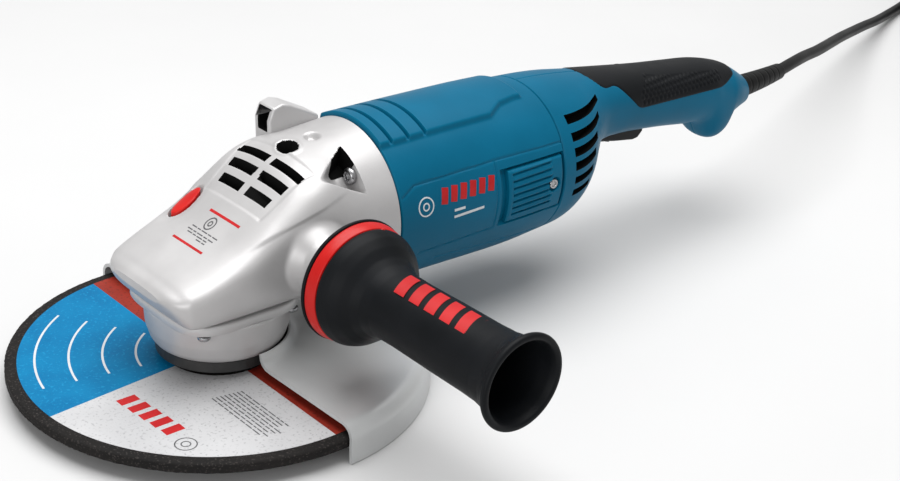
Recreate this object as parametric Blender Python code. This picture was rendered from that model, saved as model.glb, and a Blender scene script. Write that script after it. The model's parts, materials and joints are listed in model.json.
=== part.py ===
"""Two-handed mains angle grinder, modelled as the assembly of its separate pieces.

Metres, +Z up. The origin is the centre of the spindle's lower end face. +Z runs up the spindle,
+X runs from the spindle towards the rear handle, and the side handle points along -Y.
"""
import math

import bmesh
import bpy
from mathutils import Matrix, Vector

MM = 0.001
GAP = 0.3 * MM

# Grinding wheel, flanges and guard
DISC_RADIUS = 115 * MM
DISC_BOTTOM = 7 * MM
DISC_TOP = 13 * MM
DISC_BORE = 11.1 * MM
GUARD_RADIUS = 118.4 * MM
GUARD_BOTTOM = -1.3 * MM
GUARD_TOP = 21 * MM
GUARD_SHEET = 2 * MM
GUARD_START = math.radians(-89)
GUARD_END = math.radians(92)
NECK_RADIUS = 31 * MM
BAND_BOTTOM = 17.7 * MM
BAND_TOP = 23.7 * MM
BAND_RADIUS = 34.5 * MM
CLAMP_ANGLE = math.radians(55)

# Gear head
COVER_TOP = 52 * MM
MOTOR_AXIS = 80.7 * MM
SEAM_X = 87.8 * MM
CROWN_TEETH = 32
PINION_TEETH = 8
CROWN_PITCH = 26 * MM
CROWN_INNER = 18 * MM
PINION_BORE = 2.95 * MM
LOCK_RADIUS = 30.6 * MM
LOCK_SLOPE = 0.5

# Side handle
SIDE_X = 35 * MM
SIDE_Z = 76.8 * MM
SIDE_FACE = -60.2 * MM
LEFT_FACE = 48.5 * MM

# Motor and rear handle
STACK_START = 97 * MM
STACK_END = 160 * MM
BRUSH_X = 189 * MM
TRIGGER_PIVOT = Vector((283.5, 0, 84.5)) * MM
BRUSH_SCREW = Vector((205.5, 0, 80)) * MM
CORD_EXIT_Z = 80 * MM
CORD_RADIUS = 4.4 * MM
COIL_RADIUS = 46 * MM
COIL_HALF_WIDTH = 18 * MM
COIL_HEIGHT = 36 * MM
PLUG_OFFSET = 70.2 * MM
PLUG_LEAD = 20 * MM

# Outer shapes as stations along X: x, half width, bottom, top, squareness (2 is an ellipse), in mm
HEAD_STATIONS = [
    (-50.5, 22, 65.0, 69.5, 2.6),
    (-47.5, 31, 60.0, 71.5, 3.2),
    (-43.5, 36.5, 55.0, 73.0, 3.8),
    (-40, 39, 52.3, 74.6, 4.2),
    (-28, 41.5, 52.3, 79, 4.6),
    (-8, 43, 52.3, 88.5, 4.4),
    (12, 44, 52.3, 102, 3.6),
    (30, 45, 52.3, 116.5, 3.0),
    (36.5, 45.5, 52.3, 120.2, 2.85),
    (45, 46.2, 46.5, 123.5, 2.65),
    (60, 48, 33.5, 126.5, 2.3),
    (87.8, 49.6, 31.1, 130.3, 2.0),
]
BARREL_STATIONS = [
    (88.1, 49.6, 31.1, 130.3, 2.0),
    (140, 50, 30.0, 130.2, 2.0),
    (185, 50, 29.4, 129.8, 2.0),
    (214.5, 49.3, 31.2, 129.0, 2.0),
]
HANDLE_STATIONS = [
    (214.8, 49.3, 31.2, 129.0, 2.0),
    (230, 48.3, 32.8, 128.3, 2.0),
    (241, 45.5, 37.5, 127.4, 2.05),
    (250, 41, 45, 126.5, 2.1),
    (258, 35, 56, 125.5, 2.15),
    (266, 29.5, 68.5, 124.4, 2.2),
    (276, 26, 76, 123, 2.3),
    (295, 24.2, 77.5, 120.3, 2.35),
    (330, 23.2, 74.5, 115.5, 2.4),
    (362, 22.8, 70, 112, 2.4),
    (384, 22.6, 66.5, 109.5, 2.4),
    (394, 22.3, 53.5, 107.8, 2.3),
    (403, 21.5, 53, 105.4, 2.3),
    (409, 20.6, 63.5, 103.4, 2.2),
    (417, 18.5, 66.8, 99.5, 2.1),
    (430.5, 13, 68.6, 91.4, 2.0),
]

MATERIALS = {
    "cast_alloy": ((0.62, 0.63, 0.65), 0.38, 0.85),
    "sheet_steel": ((0.60, 0.61, 0.63), 0.35, 0.80),
    "teal_plastic": ((0.01, 0.13, 0.24), 0.42, 0.0),
    "black_plastic": ((0.02, 0.02, 0.02), 0.45, 0.0),
    "soft_black": ((0.03, 0.03, 0.033), 0.75, 0.0),
    "red_plastic": ((0.65, 0.02, 0.02), 0.35, 0.0),
    "steel": ((0.45, 0.45, 0.46), 0.30, 1.0),
    "black_steel": ((0.03, 0.03, 0.03), 0.40, 0.8),
    "abrasive": ((0.05, 0.05, 0.055), 0.90, 0.0),
    "copper": ((0.60, 0.25, 0.10), 0.35, 1.0),
    "carbon": ((0.04, 0.04, 0.04), 0.60, 0.2),
    "bronze": ((0.50, 0.35, 0.15), 0.35, 1.0),
    "rubber": ((0.02, 0.02, 0.02), 0.70, 0.0),
}


def clear_scene():
    for obj in list(bpy.data.objects):
        bpy.data.objects.remove(obj, do_unlink=True)


def make_material(name):
    colour, roughness, metallic = MATERIALS[name]
    material = bpy.data.materials.get(name)
    if material is None:
        material = bpy.data.materials.new(name)
        material.use_nodes = True
        shader = material.node_tree.nodes["Principled BSDF"]
        shader.inputs["Base Color"].default_value = (*colour, 1)
        shader.inputs["Roughness"].default_value = roughness
        shader.inputs["Metallic"].default_value = metallic
    return material


def solid_from(bm):
    """A linked, unnamed working object whose faces point out."""
    bmesh.ops.recalc_face_normals(bm, faces=bm.faces)
    mesh = bpy.data.meshes.new("working")
    bm.to_mesh(mesh)
    bm.free()
    obj = bpy.data.objects.new("working", mesh)
    bpy.context.scene.collection.objects.link(obj)
    return obj


def combine(target, tools, operation):
    """Apply one exact Boolean with all the tools to target and throw the tools away."""
    group = bpy.data.collections.new("tools")
    for tool in tools:
        group.objects.link(tool)
    modifier = target.modifiers.new("combine", "BOOLEAN")
    modifier.solver = "EXACT"
    modifier.operation = operation
    modifier.operand_type = "COLLECTION"
    modifier.collection = group
    bpy.context.view_layer.update()
    evaluated = target.evaluated_get(bpy.context.evaluated_depsgraph_get())
    mesh = bpy.data.meshes.new_from_object(evaluated)
    target.modifiers.clear()
    old = target.data
    target.data = mesh
    bpy.data.meshes.remove(old)
    bpy.data.collections.remove(group)
    for tool in tools:
        bpy.data.objects.remove(tool, do_unlink=True)
    return target


def cut(target, *tools):
    return combine(target, tools, "DIFFERENCE")


def join(target, *tools):
    return combine(target, tools, "UNION")


def keep(target, tool):
    return combine(target, (tool,), "INTERSECT")


def copy_of(obj):
    twin = obj.copy()
    twin.data = obj.data.copy()
    bpy.context.scene.collection.objects.link(twin)
    return twin


def name_piece(obj, name, material, pivot=(0, 0, 0)):
    """Give a finished solid its name and material, with its origin at pivot."""
    bm = bmesh.new()
    bm.from_mesh(obj.data)
    bmesh.ops.remove_doubles(bm, verts=bm.verts, dist=1e-6)
    bmesh.ops.dissolve_degenerate(bm, dist=1e-6, edges=bm.edges)
    bmesh.ops.dissolve_limit(bm, angle_limit=math.radians(0.2), verts=bm.verts, edges=bm.edges)
    bmesh.ops.transform(bm, matrix=Matrix.Translation(-Vector(pivot)), verts=bm.verts)
    bm.to_mesh(obj.data)
    bm.free()
    obj.name = name
    obj.data.name = name
    obj.location = pivot
    obj.data.materials.clear()
    obj.data.materials.append(make_material(material))
    obj.data.shade_smooth()
    obj.data.set_sharp_from_angle(angle=math.radians(35))
    return obj


def bridge(bm, rings, closed_loop=False, capped=True):
    """Skin equal rings of vertices with quads; a closed loop joins the last ring to the first."""
    count = len(rings[0])
    pairs = list(zip(rings, rings[1:]))
    if closed_loop:
        pairs.append((rings[-1], rings[0]))
    for first, second in pairs:
        for i in range(count):
            j = (i + 1) % count
            bm.faces.new((first[i], first[j], second[j], second[i]))
    if capped and not closed_loop:
        bm.faces.new(rings[0])
        bm.faces.new(list(reversed(rings[-1])))


def turned(profile, segments=32, axis="Z", at=(0, 0, 0), start=0.0, sweep=2 * math.pi):
    """Turn a closed profile of (radius, height) points about an axis through the point at."""
    full = sweep > 2 * math.pi - 1e-6
    steps = segments if full else segments + 1
    to_axis = {"Z": Matrix.Identity(4), "X": Matrix.Rotation(math.pi / 2, 4, "Y"),
               "Y": Matrix.Rotation(-math.pi / 2, 4, "X")}[axis]
    bm = bmesh.new()
    rings = []
    for k in range(steps):
        angle = start + sweep * k / segments
        ring = [bm.verts.new((r * math.cos(angle), r * math.sin(angle), h)) for r, h in profile]
        rings.append(ring)
    bridge(bm, rings, closed_loop=full, capped=not full)
    on_axis = [edge for ring in rings for a, b in zip(ring, ring[1:] + ring[:1])
               if math.hypot(*a.co.xy) < 1e-9 and math.hypot(*b.co.xy) < 1e-9
               for edge in a.link_edges if edge.other_vert(a) is b]
    bmesh.ops.delete(bm, geom=on_axis, context="EDGES_FACES")
    bmesh.ops.remove_doubles(bm, verts=bm.verts, dist=1e-7)
    bmesh.ops.transform(bm, matrix=Matrix.Translation(at) @ to_axis, verts=bm.verts)
    return solid_from(bm)


def rod(radius, low, high, segments=24, axis="Z", at=(0, 0, 0)):
    """A plain cylinder between two heights along its axis."""
    to_axis = {"Z": Matrix.Identity(4), "X": Matrix.Rotation(math.pi / 2, 4, "Y"),
               "Y": Matrix.Rotation(-math.pi / 2, 4, "X")}[axis]
    bm = bmesh.new()
    rings = []
    for height in (low, high):
        ring = []
        for k in range(segments):
            angle = 2 * math.pi * k / segments
            ring.append(bm.verts.new((radius * math.cos(angle), radius * math.sin(angle), height)))
        rings.append(ring)
    bridge(bm, rings)
    bmesh.ops.transform(bm, matrix=Matrix.Translation(at) @ to_axis, verts=bm.verts)
    return solid_from(bm)


def tube(outer, inner, low, high, segments=24, axis="Z", at=(0, 0, 0)):
    profile = [(inner, low), (outer, low), (outer, high), (inner, high)]
    return turned(profile, segments, axis, at)


def block(low, high, turn=0.0, at=(0, 0, 0)):
    """A box between two corners, then turned about Z and moved."""
    bm = bmesh.new()
    bmesh.ops.create_cube(bm, size=1)
    low = Vector(low)
    high = Vector(high)
    for vert in bm.verts:
        vert.co = low + Vector(((vert.co[i] + 0.5) * (high - low)[i] for i in range(3)))
    place = Matrix.Translation(at) @ Matrix.Rotation(turn, 4, "Z")
    bmesh.ops.transform(bm, matrix=place, verts=bm.verts)
    return solid_from(bm)


def extruded(outline, low, high, axis="Y", slope=0.0):
    """Extrude a closed outline along Y (outline in X, Z) or Z (outline in X, Y), sheared by slope."""
    bm = bmesh.new()
    rings = []
    for level in (low, high):
        if axis == "Y":
            ring = [bm.verts.new((a, level, b)) for a, b in outline]
        else:
            ring = [bm.verts.new((a, b, level + slope * a)) for a, b in outline]
        rings.append(ring)
    bridge(bm, rings)
    return solid_from(bm)


def oval(centre_x, centre_y, half_x, half_y, power=2.0, count=24, phase=0.0):
    points = []
    for k in range(count):
        angle = 2 * math.pi * (k + phase) / count
        c, s = math.cos(angle), math.sin(angle)
        points.append((centre_x + half_x * math.copysign(abs(c) ** (2 / power), c),
                       centre_y + half_y * math.copysign(abs(s) ** (2 / power), s)))
    return points


def blend_station(stations, x):
    """Smooth values between stations at a place along X (Catmull-Rom)."""
    last = len(stations) - 1
    i = max(k for k in range(last) if stations[k][0] <= x + 1e-9)
    before = stations[max(i - 1, 0)]
    first = stations[i]
    second = stations[i + 1]
    after = stations[min(i + 2, last)]
    span = second[0] - first[0]
    t = (x - first[0]) / span
    values = [x]
    for k in range(1, 5):
        slope_a = (second[k] - before[k]) / max(second[0] - before[0], 1e-9) * span
        slope_b = (after[k] - first[k]) / max(after[0] - first[0], 1e-9) * span
        values.append((2 * t ** 3 - 3 * t ** 2 + 1) * first[k] + (t ** 3 - 2 * t ** 2 + t) * slope_a
                      + (-2 * t ** 3 + 3 * t ** 2) * second[k] + (t ** 3 - t ** 2) * slope_b)
    return values


def lofted(stations, xs, inset=0.0, count=24):
    """Skin superellipse sections at the places xs (mm), shrunk by an inset (mm)."""
    bm = bmesh.new()
    rings = []
    for x in xs:
        inside = min(max(x, stations[0][0]), stations[-1][0])
        _, half, bottom, top, power = blend_station(stations, inside)
        bottom += inset
        top -= inset
        section = oval(0, (bottom + top) / 2, half - inset, (top - bottom) / 2, power, count, 0.5)
        rings.append([bm.verts.new((x * MM, y * MM, z * MM)) for y, z in section])
    bridge(bm, rings)
    return solid_from(bm)


def screw(name, head_radius, shank_radius, head, shank, axis, at, material="steel"):
    """A pan-head screw with a driving slot; its head starts at the seat and points along -axis."""
    profile = [(0, -head), (head_radius * 0.8, -head), (head_radius, -head * 0.6),
               (head_radius, 0), (shank_radius, 0), (shank_radius, shank), (0, shank)]
    body = turned(profile, 8, axis, at)
    half = [head_radius * 0.6, 0.5 * MM]
    low = {"X": (-head - GAP, -half[0], -half[1]), "Z": (-half[0], -half[1], -head - GAP)}[axis]
    high = {"X": (-head * 0.5, half[0], half[1]), "Z": (half[0], half[1], -head * 0.5)}[axis]
    cut(body, block(low, high, at=at))
    return name_piece(body, name, material)


# ---------------------------------------------------------------- gear head

def gear_housing():
    """Die-cast head: a skin with bosses standing in its cavity, then the holes."""
    body = lofted(HEAD_STATIONS, [-50.5, -48.5, -45.5, -40, -32, -20, -8, 8, 22, 36.5, 45, 54, 66, 87.8],
                  count=26)
    cavity = lofted(HEAD_STATIONS, [-35.5, -26, -8, 12, 30, 44, 57, 74, 96], inset=4.1, count=20)
    bosses = [
        rod(10 * MM, 78 * MM, 99 * MM, 12),
        extruded(oval(0, LOCK_RADIUS, 13 * MM, 9.5 * MM, count=16), 84 * MM, 112 * MM, "Z", LOCK_SLOPE),
        rod(7 * MM, 77.3 * MM, 95 * MM, 14, "Z", (0, LOCK_RADIUS, 0)),
        rod(11 * MM, 33 * MM, 60 * MM, 16, "Y", (SIDE_X, 0, SIDE_Z)),
        rod(11 * MM, -55 * MM, -33 * MM, 16, "Y", (SIDE_X, 0, SIDE_Z)),
        rod(11 * MM, 113 * MM, 140 * MM, 16, "Z", (46 * MM, 0, 0)),
    ]
    for x, y in cover_screw_places():
        bosses.append(rod(5.5 * MM, 40 * MM, 66 * MM, 10, "Z", (x, y, 0)))
    for y, z in housing_screw_places():
        bosses.append(rod(7.5 * MM, 60.7 * MM, 95 * MM, 10, "X", (0, y, z)))
    cut(cavity, *bosses)
    cut(body, cavity)
    boss = [(0, SIDE_FACE), (14 * MM, SIDE_FACE), (16 * MM, -52 * MM), (22 * MM, -42.3 * MM), (0, -42.3 * MM)]
    join(body, hook_lug(), turned(boss, 20, "Y", (SIDE_X, 0, SIDE_Z)),
         rod(13.6 * MM, 42.6 * MM, LEFT_FACE, 18, "Y", (SIDE_X, 0, SIDE_Z)))
    tools = [
        rod(33 * MM, 40 * MM, 60 * MM, 32),
        rod(7.3 * MM, 77 * MM, 87 * MM, 16),
        rod(7.3 * MM, -62 * MM, -34 * MM, 16, "Y", (SIDE_X, 0, SIDE_Z)),
        rod(7.3 * MM, 34 * MM, 50 * MM, 16, "Y", (SIDE_X, 0, SIDE_Z)),
        rod(6.5 * MM, 112 * MM, 135 * MM, 16, "Z", (46 * MM, 0, 0)),
        extruded(oval(0, LOCK_RADIUS, 9.6 * MM, 5.9 * MM, count=16), 85.9 * MM, 110 * MM, "Z", LOCK_SLOPE),
        rod(5.4 * MM, 80.3 * MM, 95 * MM, 12, "Z", (0, LOCK_RADIUS, 0)),
        rod(2.9 * MM, 70 * MM, 82 * MM, 10, "Z", (0, LOCK_RADIUS, 0)),
    ]
    for x, y in cover_screw_places():
        tools.append(rod(2.3 * MM, 50 * MM, 64 * MM, 8, "Z", (x, y, 0)))
    for y, z in housing_screw_places():
        tools.append(rod(2.9 * MM, 59 * MM, 90 * MM, 8, "X", (0, y, z)))
        tools.append(rod(5.6 * MM, 40 * MM, 68 * MM, 12, "X", (0, y, z)))
        if y < 0 or z < MOTOR_AXIS:
            tools.append(open_corner(y, z))
    tools.extend(vent_slots())
    cut(body, *tools)
    return name_piece(body, "gear_housing", "cast_alloy")


def open_corner(y, z):
    """The notch that opens a screw pocket to the outside of the head."""
    y_low, y_high = sorted((y - math.copysign(3.5 * MM, y), math.copysign(70 * MM, y)))
    lift = z - MOTOR_AXIS
    z_low, z_high = sorted((z - math.copysign(3.5 * MM, lift), MOTOR_AXIS + math.copysign(70 * MM, lift)))
    return block((56 * MM, y_low, z_low), (67.7 * MM, y_high, z_high))


def hook_lug():
    """The lug with a pocket that stands on the left shoulder of the head."""
    outline = [(52.2, 107.3), (51.6, 128.1), (54.1, 135.9), (61.2, 137.4), (85.3, 125.7), (85.7, 107.6)]
    lug = extruded([(x * MM, z * MM) for x, z in outline], 24.4 * MM, 39.6 * MM)
    return cut(lug, block((49 * MM, 28.3 * MM, 122 * MM), (60 * MM, 36.2 * MM, 133.5 * MM)))


def vent_slots():
    slots = []
    for row in range(3):
        x = (34.6 - 8.5 * row) * MM
        reach = (27.7 - 3 * row) * MM
        for side in (-1, 1):
            low, high = sorted((side * 2.7 * MM, side * reach))
            slots.append(block((x - 2.4 * MM, low, 84 * MM), (x + 2.4 * MM, high, 130 * MM)))
    return slots


def cover_screw_places():
    return [(x, y) for x in (-30 * MM, 26 * MM) for y in (-32.5 * MM, 32.5 * MM)]


def housing_screw_places():
    return [(y, MOTOR_AXIS + z) for y in (-29 * MM, 29 * MM) for z in (-31 * MM, 31 * MM)]


def bearing_cover():
    """The die-cast plate under the head: flange, cup for the main bearing and neck for the guard."""
    profile = [(20.3, 30), (14.4, 30), (14.4, 17.5), (NECK_RADIUS / MM, 17.5), (NECK_RADIUS / MM, 24.2),
               (35.4, 24.2), (37.4, 27), (39.6, 34), (40.6, 47), (32.6, 47), (32.6, 56.5), (24, 56.5),
               (24, 45), (20.3, 45)]
    cup = turned([(r * MM, z * MM) for r, z in profile], 36)
    plate = extruded(oval(-2.5 * MM, 0, 38.2 * MM, 39.2 * MM, 4.0, 36), 46.2 * MM, COVER_TOP, "Z")
    cut(plate, rod(26 * MM, 40 * MM, 60 * MM, 24))
    join(cup, plate)
    for x, y in cover_screw_places():
        cut(cup, rod(2.3 * MM, 40 * MM, 60 * MM, 12, "Z", (x, y, 0)),
            rod(4.2 * MM, 40 * MM, 46.2 * MM, 12, "Z", (x, y, 0)))
    return name_piece(cup, "bearing_cover", "cast_alloy")


def gear_head_screws():
    for k, (x, y) in enumerate(cover_screw_places()):
        screw(f"bearing_cover_screw_{k + 1}", 3.6 * MM, 2 * MM, 2.6 * MM, 17 * MM, "Z",
              (x, y, 46.2 * MM - GAP))
    for k, (y, z) in enumerate(housing_screw_places()):
        screw(f"housing_screw_{k + 1}", 4.8 * MM, 2.5 * MM, 3.2 * MM, 28.5 * MM, "X",
              (68 * MM - GAP, y, z))


def spindle_lock():
    cap = extruded(oval(0, 0, 9.2 * MM, 5.5 * MM, count=16), 92.6 * MM, 96.6 * MM, "Z", LOCK_SLOPE)
    stem = rod(5 * MM, 89 * MM, 94 * MM, 14)
    join(cap, stem)
    bmesh_shift(cap, (0, LOCK_RADIUS, 0))
    name_piece(cap, "spindle_lock_button", "red_plastic", (0, LOCK_RADIUS, 93 * MM))
    pin = rod(2.5 * MM, 75 * MM, 88.7 * MM, 12, "Z", (0, LOCK_RADIUS, 0))
    name_piece(pin, "spindle_lock_pin", "steel", (0, LOCK_RADIUS, 80 * MM))
    spring = coil_spring(4.3 * MM, 0.45 * MM, 80.6 * MM, 88.5 * MM, 4)
    bmesh_shift(spring, (0, LOCK_RADIUS, 0))
    name_piece(spring, "spindle_lock_spring", "steel", (0, LOCK_RADIUS, 80.6 * MM))


def bmesh_shift(obj, offset):
    obj.data.transform(Matrix.Translation(offset))


def coil_spring(radius, wire, low, high, turns, steps=9, sides=5):
    bm = bmesh.new()
    rings = []
    count = turns * steps
    for k in range(count + 1):
        angle = 2 * math.pi * k / steps
        height = low + wire + (high - low - 2 * wire) * k / count
        ring = []
        for j in range(sides):
            around = 2 * math.pi * j / sides
            r = radius + wire * math.cos(around)
            ring.append(bm.verts.new((r * math.cos(angle), r * math.sin(angle),
                                      height + wire * math.sin(around))))
        rings.append(ring)
    bridge(bm, rings)
    return solid_from(bm)


def crown_gear():
    """Bevel wheel on the spindle. Its teeth rise from a flat cone; four holes take the lock pin."""
    step = 2 * math.pi / CROWN_TEETH
    bm = bmesh.new()
    rings = []
    for tooth in range(CROWN_TEETH):
        middle = (tooth + 0.5) * step
        for offset, raised in ((-0.27, False), (-0.10, True), (0.10, True), (0.27, False)):
            angle = middle + offset * step
            ring = []
            rim = pitch_height(CROWN_PITCH) + tooth_rise(CROWN_PITCH, raised)
            heel = pitch_height(CROWN_INNER) + tooth_rise(CROWN_INNER, raised)
            for r, z in ((8.4 * MM, 60 * MM), (34 * MM, 61.8 * MM), (34 * MM, 71 * MM),
                         (CROWN_PITCH, rim), (CROWN_INNER, heel), (8.4 * MM, 71.5 * MM)):
                ring.append(bm.verts.new((r * math.cos(angle), r * math.sin(angle), z)))
            rings.append(ring)
    bridge(bm, rings, closed_loop=True)
    gear = solid_from(bm)
    holes = []
    for k in range(4):
        angle = math.pi / 2 * k
        holes.append(rod(3.2 * MM, 55 * MM, 80 * MM, 10, "Z",
                         (LOCK_RADIUS * math.cos(angle), LOCK_RADIUS * math.sin(angle), 0)))
    cut(gear, *holes)
    name_piece(gear, "crown_gear", "steel")


def pitch_height(radius):
    return MOTOR_AXIS - radius * PINION_TEETH / CROWN_TEETH


def tooth_rise(radius, raised):
    return (0.95 if raised else -1.45) * MM * radius / CROWN_PITCH


def pinion():
    """Bevel pinion on the armature shaft, with a tooth in a gap of the crown gear at rest."""
    step = 2 * math.pi / PINION_TEETH
    bm = bmesh.new()
    rings = []
    for tooth in range(PINION_TEETH):
        middle = tooth * step - math.pi / 2
        for offset, raised in ((-0.27, False), (-0.08, True), (0.08, True), (0.27, False)):
            angle = middle + offset * step
            profile = ((CROWN_INNER, PINION_BORE), (CROWN_INNER, pinion_radius(CROWN_INNER, raised)),
                       (CROWN_PITCH, pinion_radius(CROWN_PITCH, raised)),
                       (28 * MM, 4.9 * MM), (28 * MM, PINION_BORE))
            rings.append([bm.verts.new((x, r * math.cos(angle), MOTOR_AXIS + r * math.sin(angle)))
                          for x, r in profile])
    bridge(bm, rings, closed_loop=True)
    name_piece(solid_from(bm), "pinion", "steel", (22 * MM, 0, MOTOR_AXIS))


def pinion_radius(x, raised):
    return x * PINION_TEETH / CROWN_TEETH + (0.95 if raised else -1.25) * MM * x / CROWN_PITCH


def spindle_group():
    steps = [(0, 0), (7, 0), (7, 17.5), (8.4, 17.5), (8.4, 42.6), (11, 42.6), (11, 47), (8.2, 47),
             (8.2, 59.6), (8.1, 59.6), (8.1, 74), (4.6, 74), (4.6, 86), (0, 86)]
    name_piece(turned([(r * MM, z * MM) for r, z in steps], 20), "spindle", "steel")
    name_piece(bearing(8.8, 20, 30.3, 42.3), "spindle_bearing", "steel")
    name_piece(tube(7 * MM, 5 * MM, 78.3 * MM, 86 * MM, 16), "needle_bush", "bronze")
    name_piece(tube(14.1 * MM, 8.8 * MM, 24 * MM, 29.7 * MM, 24), "dust_seal", "rubber")


def bearing(inner, outer, low, high, axis="Z", at=(0, 0, 0), segments=20):
    """A sealed ball bearing: a ring with a shallow groove in its lower face."""
    wall = (outer - inner) * 0.3
    profile = [(inner, low), (inner + wall, low), (inner + wall, low + 0.8), (outer - wall, low + 0.8),
               (outer - wall, low), (outer, low), (outer, high), (inner, high)]
    return turned([(r * MM, z * MM) for r, z in profile], segments, axis, at)


# ---------------------------------------------------------------- wheel end

def wheel_end():
    flange = [(7.4, 8), (10.6, 8), (10.6, 13.3), (28, 13.3), (28.6, 14.2), (28.6, 16), (26, 17.2),
              (7.4, 17.2)]
    name_piece(turned([(r * MM, z * MM) for r, z in flange], 32), "inner_flange", "black_steel")
    disc = [(DISC_BORE, DISC_BOTTOM), (DISC_RADIUS - 0.5 * MM, DISC_BOTTOM),
            (DISC_RADIUS, DISC_BOTTOM + 0.6 * MM), (DISC_RADIUS, DISC_TOP - 0.6 * MM),
            (DISC_RADIUS - 0.5 * MM, DISC_TOP), (DISC_BORE, DISC_TOP)]
    name_piece(turned(disc, 64), "grinding_disc", "abrasive")
    nut = [(7.3, -1), (17, -1), (21.5, 1.5), (21.5, 6.7), (7.3, 6.7)]
    body = turned([(r * MM, z * MM) for r, z in nut], 32)
    for k in range(4):
        angle = math.pi / 2 * k + math.pi / 4
        cut(body, rod(2.4 * MM, -2 * MM, 3 * MM, 10, "Z",
                      (13.5 * MM * math.cos(angle), 13.5 * MM * math.sin(angle), 0)))
    name_piece(body, "clamping_nut", "black_steel")


def guard():
    sheet = GUARD_SHEET
    outline = [(35 * MM, GUARD_TOP - sheet), (35 * MM, GUARD_TOP), (44 * MM, GUARD_TOP)]
    outline += rounded_corner(GUARD_RADIUS, GUARD_TOP, 8 * MM)
    outline += [(GUARD_RADIUS, GUARD_BOTTOM), (GUARD_RADIUS - sheet, GUARD_BOTTOM)]
    outline += list(reversed(rounded_corner(GUARD_RADIUS - sheet, GUARD_TOP - sheet, 6 * MM)))
    hood = turned(outline, 30, start=GUARD_START, sweep=GUARD_END - GUARD_START)
    notch = block((33 * MM, -9 * MM, 15 * MM), (49 * MM, 9 * MM, 25 * MM), CLAMP_ANGLE)
    cut(hood, notch)
    name_piece(hood, "guard_hood", "sheet_steel")
    band = tube(BAND_RADIUS, NECK_RADIUS + 0.4 * MM, BAND_BOTTOM, BAND_TOP, 48)
    for side in (-1, 1):
        low, high = sorted((side * 1.8 * MM, side * 4.8 * MM))
        join(band, block((33 * MM, low, BAND_BOTTOM), (46 * MM, high, BAND_TOP), CLAMP_ANGLE))
    cut(band, block((28 * MM, -1.8 * MM, 10 * MM), (40 * MM, 1.8 * MM, 30 * MM), CLAMP_ANGLE))
    across = Matrix.Rotation(CLAMP_ANGLE, 4, "Z")
    hole = rod(2.2 * MM, -8 * MM, 8 * MM, 12, "Y", (41 * MM, 0, (BAND_BOTTOM + BAND_TOP) / 2))
    hole.data.transform(across)
    cut(band, hole)
    name_piece(band, "guard_clamp_band", "black_steel")
    profile = [(0, -8), (3.6, -8), (3.6, -5.2), (1.9, -5.2), (1.9, 6.5), (0, 6.5)]
    bolt = turned([(r * MM, z * MM) for r, z in profile], 12, "Y",
                  (41 * MM, 0, (BAND_BOTTOM + BAND_TOP) / 2))
    bolt.data.transform(across)
    name_piece(bolt, "guard_clamp_screw", "steel")


def rounded_corner(radius, top, bend, steps=3):
    """Points of a quarter bend from a level sheet down to a vertical one."""
    points = []
    for k in range(steps + 1):
        angle = math.pi / 2 * (1 - k / steps)
        points.append((radius - bend + bend * math.cos(angle), top - bend + bend * math.sin(angle)))
    return points


# ---------------------------------------------------------------- motor

def motor():
    axis = (0, 0, MOTOR_AXIS)
    shaft = [(2.6, 16), (2.6, 30), (5.9, 30), (5.9, 58), (7, 58), (7, 202), (4.9, 202), (4.9, 213)]
    profile = [(0, 16 * MM)] + [(r * MM, x * MM) for r, x in shaft] + [(0, 213 * MM)]
    name_piece(turned(profile, 14, "X", axis), "armature_shaft", "steel", axis)
    name_piece(bearing(6.2, 16, 44, 54, "X", axis, 16), "front_bearing", "steel", axis)
    name_piece(bearing(5.2, 15, 203, 212, "X", axis, 16), "rear_bearing", "steel", axis)
    holder = [(16.3, 43.4), (20, 43.4), (22, 56), (35.5, 57.5), (35.5, 60), (20, 60), (16.3, 56)]
    name_piece(turned([(r * MM, x * MM) for r, x in holder], 24, "X", axis), "bearing_bracket", "cast_alloy")
    armature()
    fan()
    stator()
    brushes()


def armature():
    axis = (0, 0, MOTOR_AXIS)
    slots = 12
    outline = []
    for k in range(slots):
        for offset, radius in ((-0.26, 17), (-0.26, 26), (0.26, 26), (0.26, 17)):
            angle = 2 * math.pi * (k + offset) / slots
            outline.append((radius * math.cos(angle) * MM, radius * math.sin(angle) * MM))
    core = extruded(outline, STACK_START, STACK_END, "Z")
    core.data.transform(Matrix.Translation(axis) @ Matrix.Rotation(math.pi / 2, 4, "Y"))
    cut(core, rod(7.3 * MM, 80 * MM, 180 * MM, 14, "X", axis))
    name_piece(core, "armature_core", "steel", axis)
    ends = []
    for low, high in ((84.5, 96.7), (160.3, 172.5)):
        profile = [(8, low), (19, low), (23.5, low + 4), (23.5, high - 4), (19, high), (8, high)]
        ends.append(turned([(r * MM, x * MM) for r, x in profile], 16, "X", axis))
    winding = join(*ends)
    bars = []
    for k in range(slots):
        turn = 2 * math.pi * (k + 0.5) / slots
        bar = block((90 * MM, -1.8 * MM, 17.6 * MM), (167 * MM, 1.8 * MM, 22.5 * MM))
        bar.data.transform(Matrix.Translation(axis) @ Matrix.Rotation(turn, 4, "X"))
        bars.append(bar)
    join(winding, *bars)
    name_piece(winding, "armature_winding", "copper", axis)
    steps = [(7.3, 176), (19, 176), (19, 180), (17, 180), (17, 200), (7.3, 200)]
    name_piece(turned([(r * MM, x * MM) for r, x in steps], 20, "X", axis), "commutator", "copper", axis)


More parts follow.
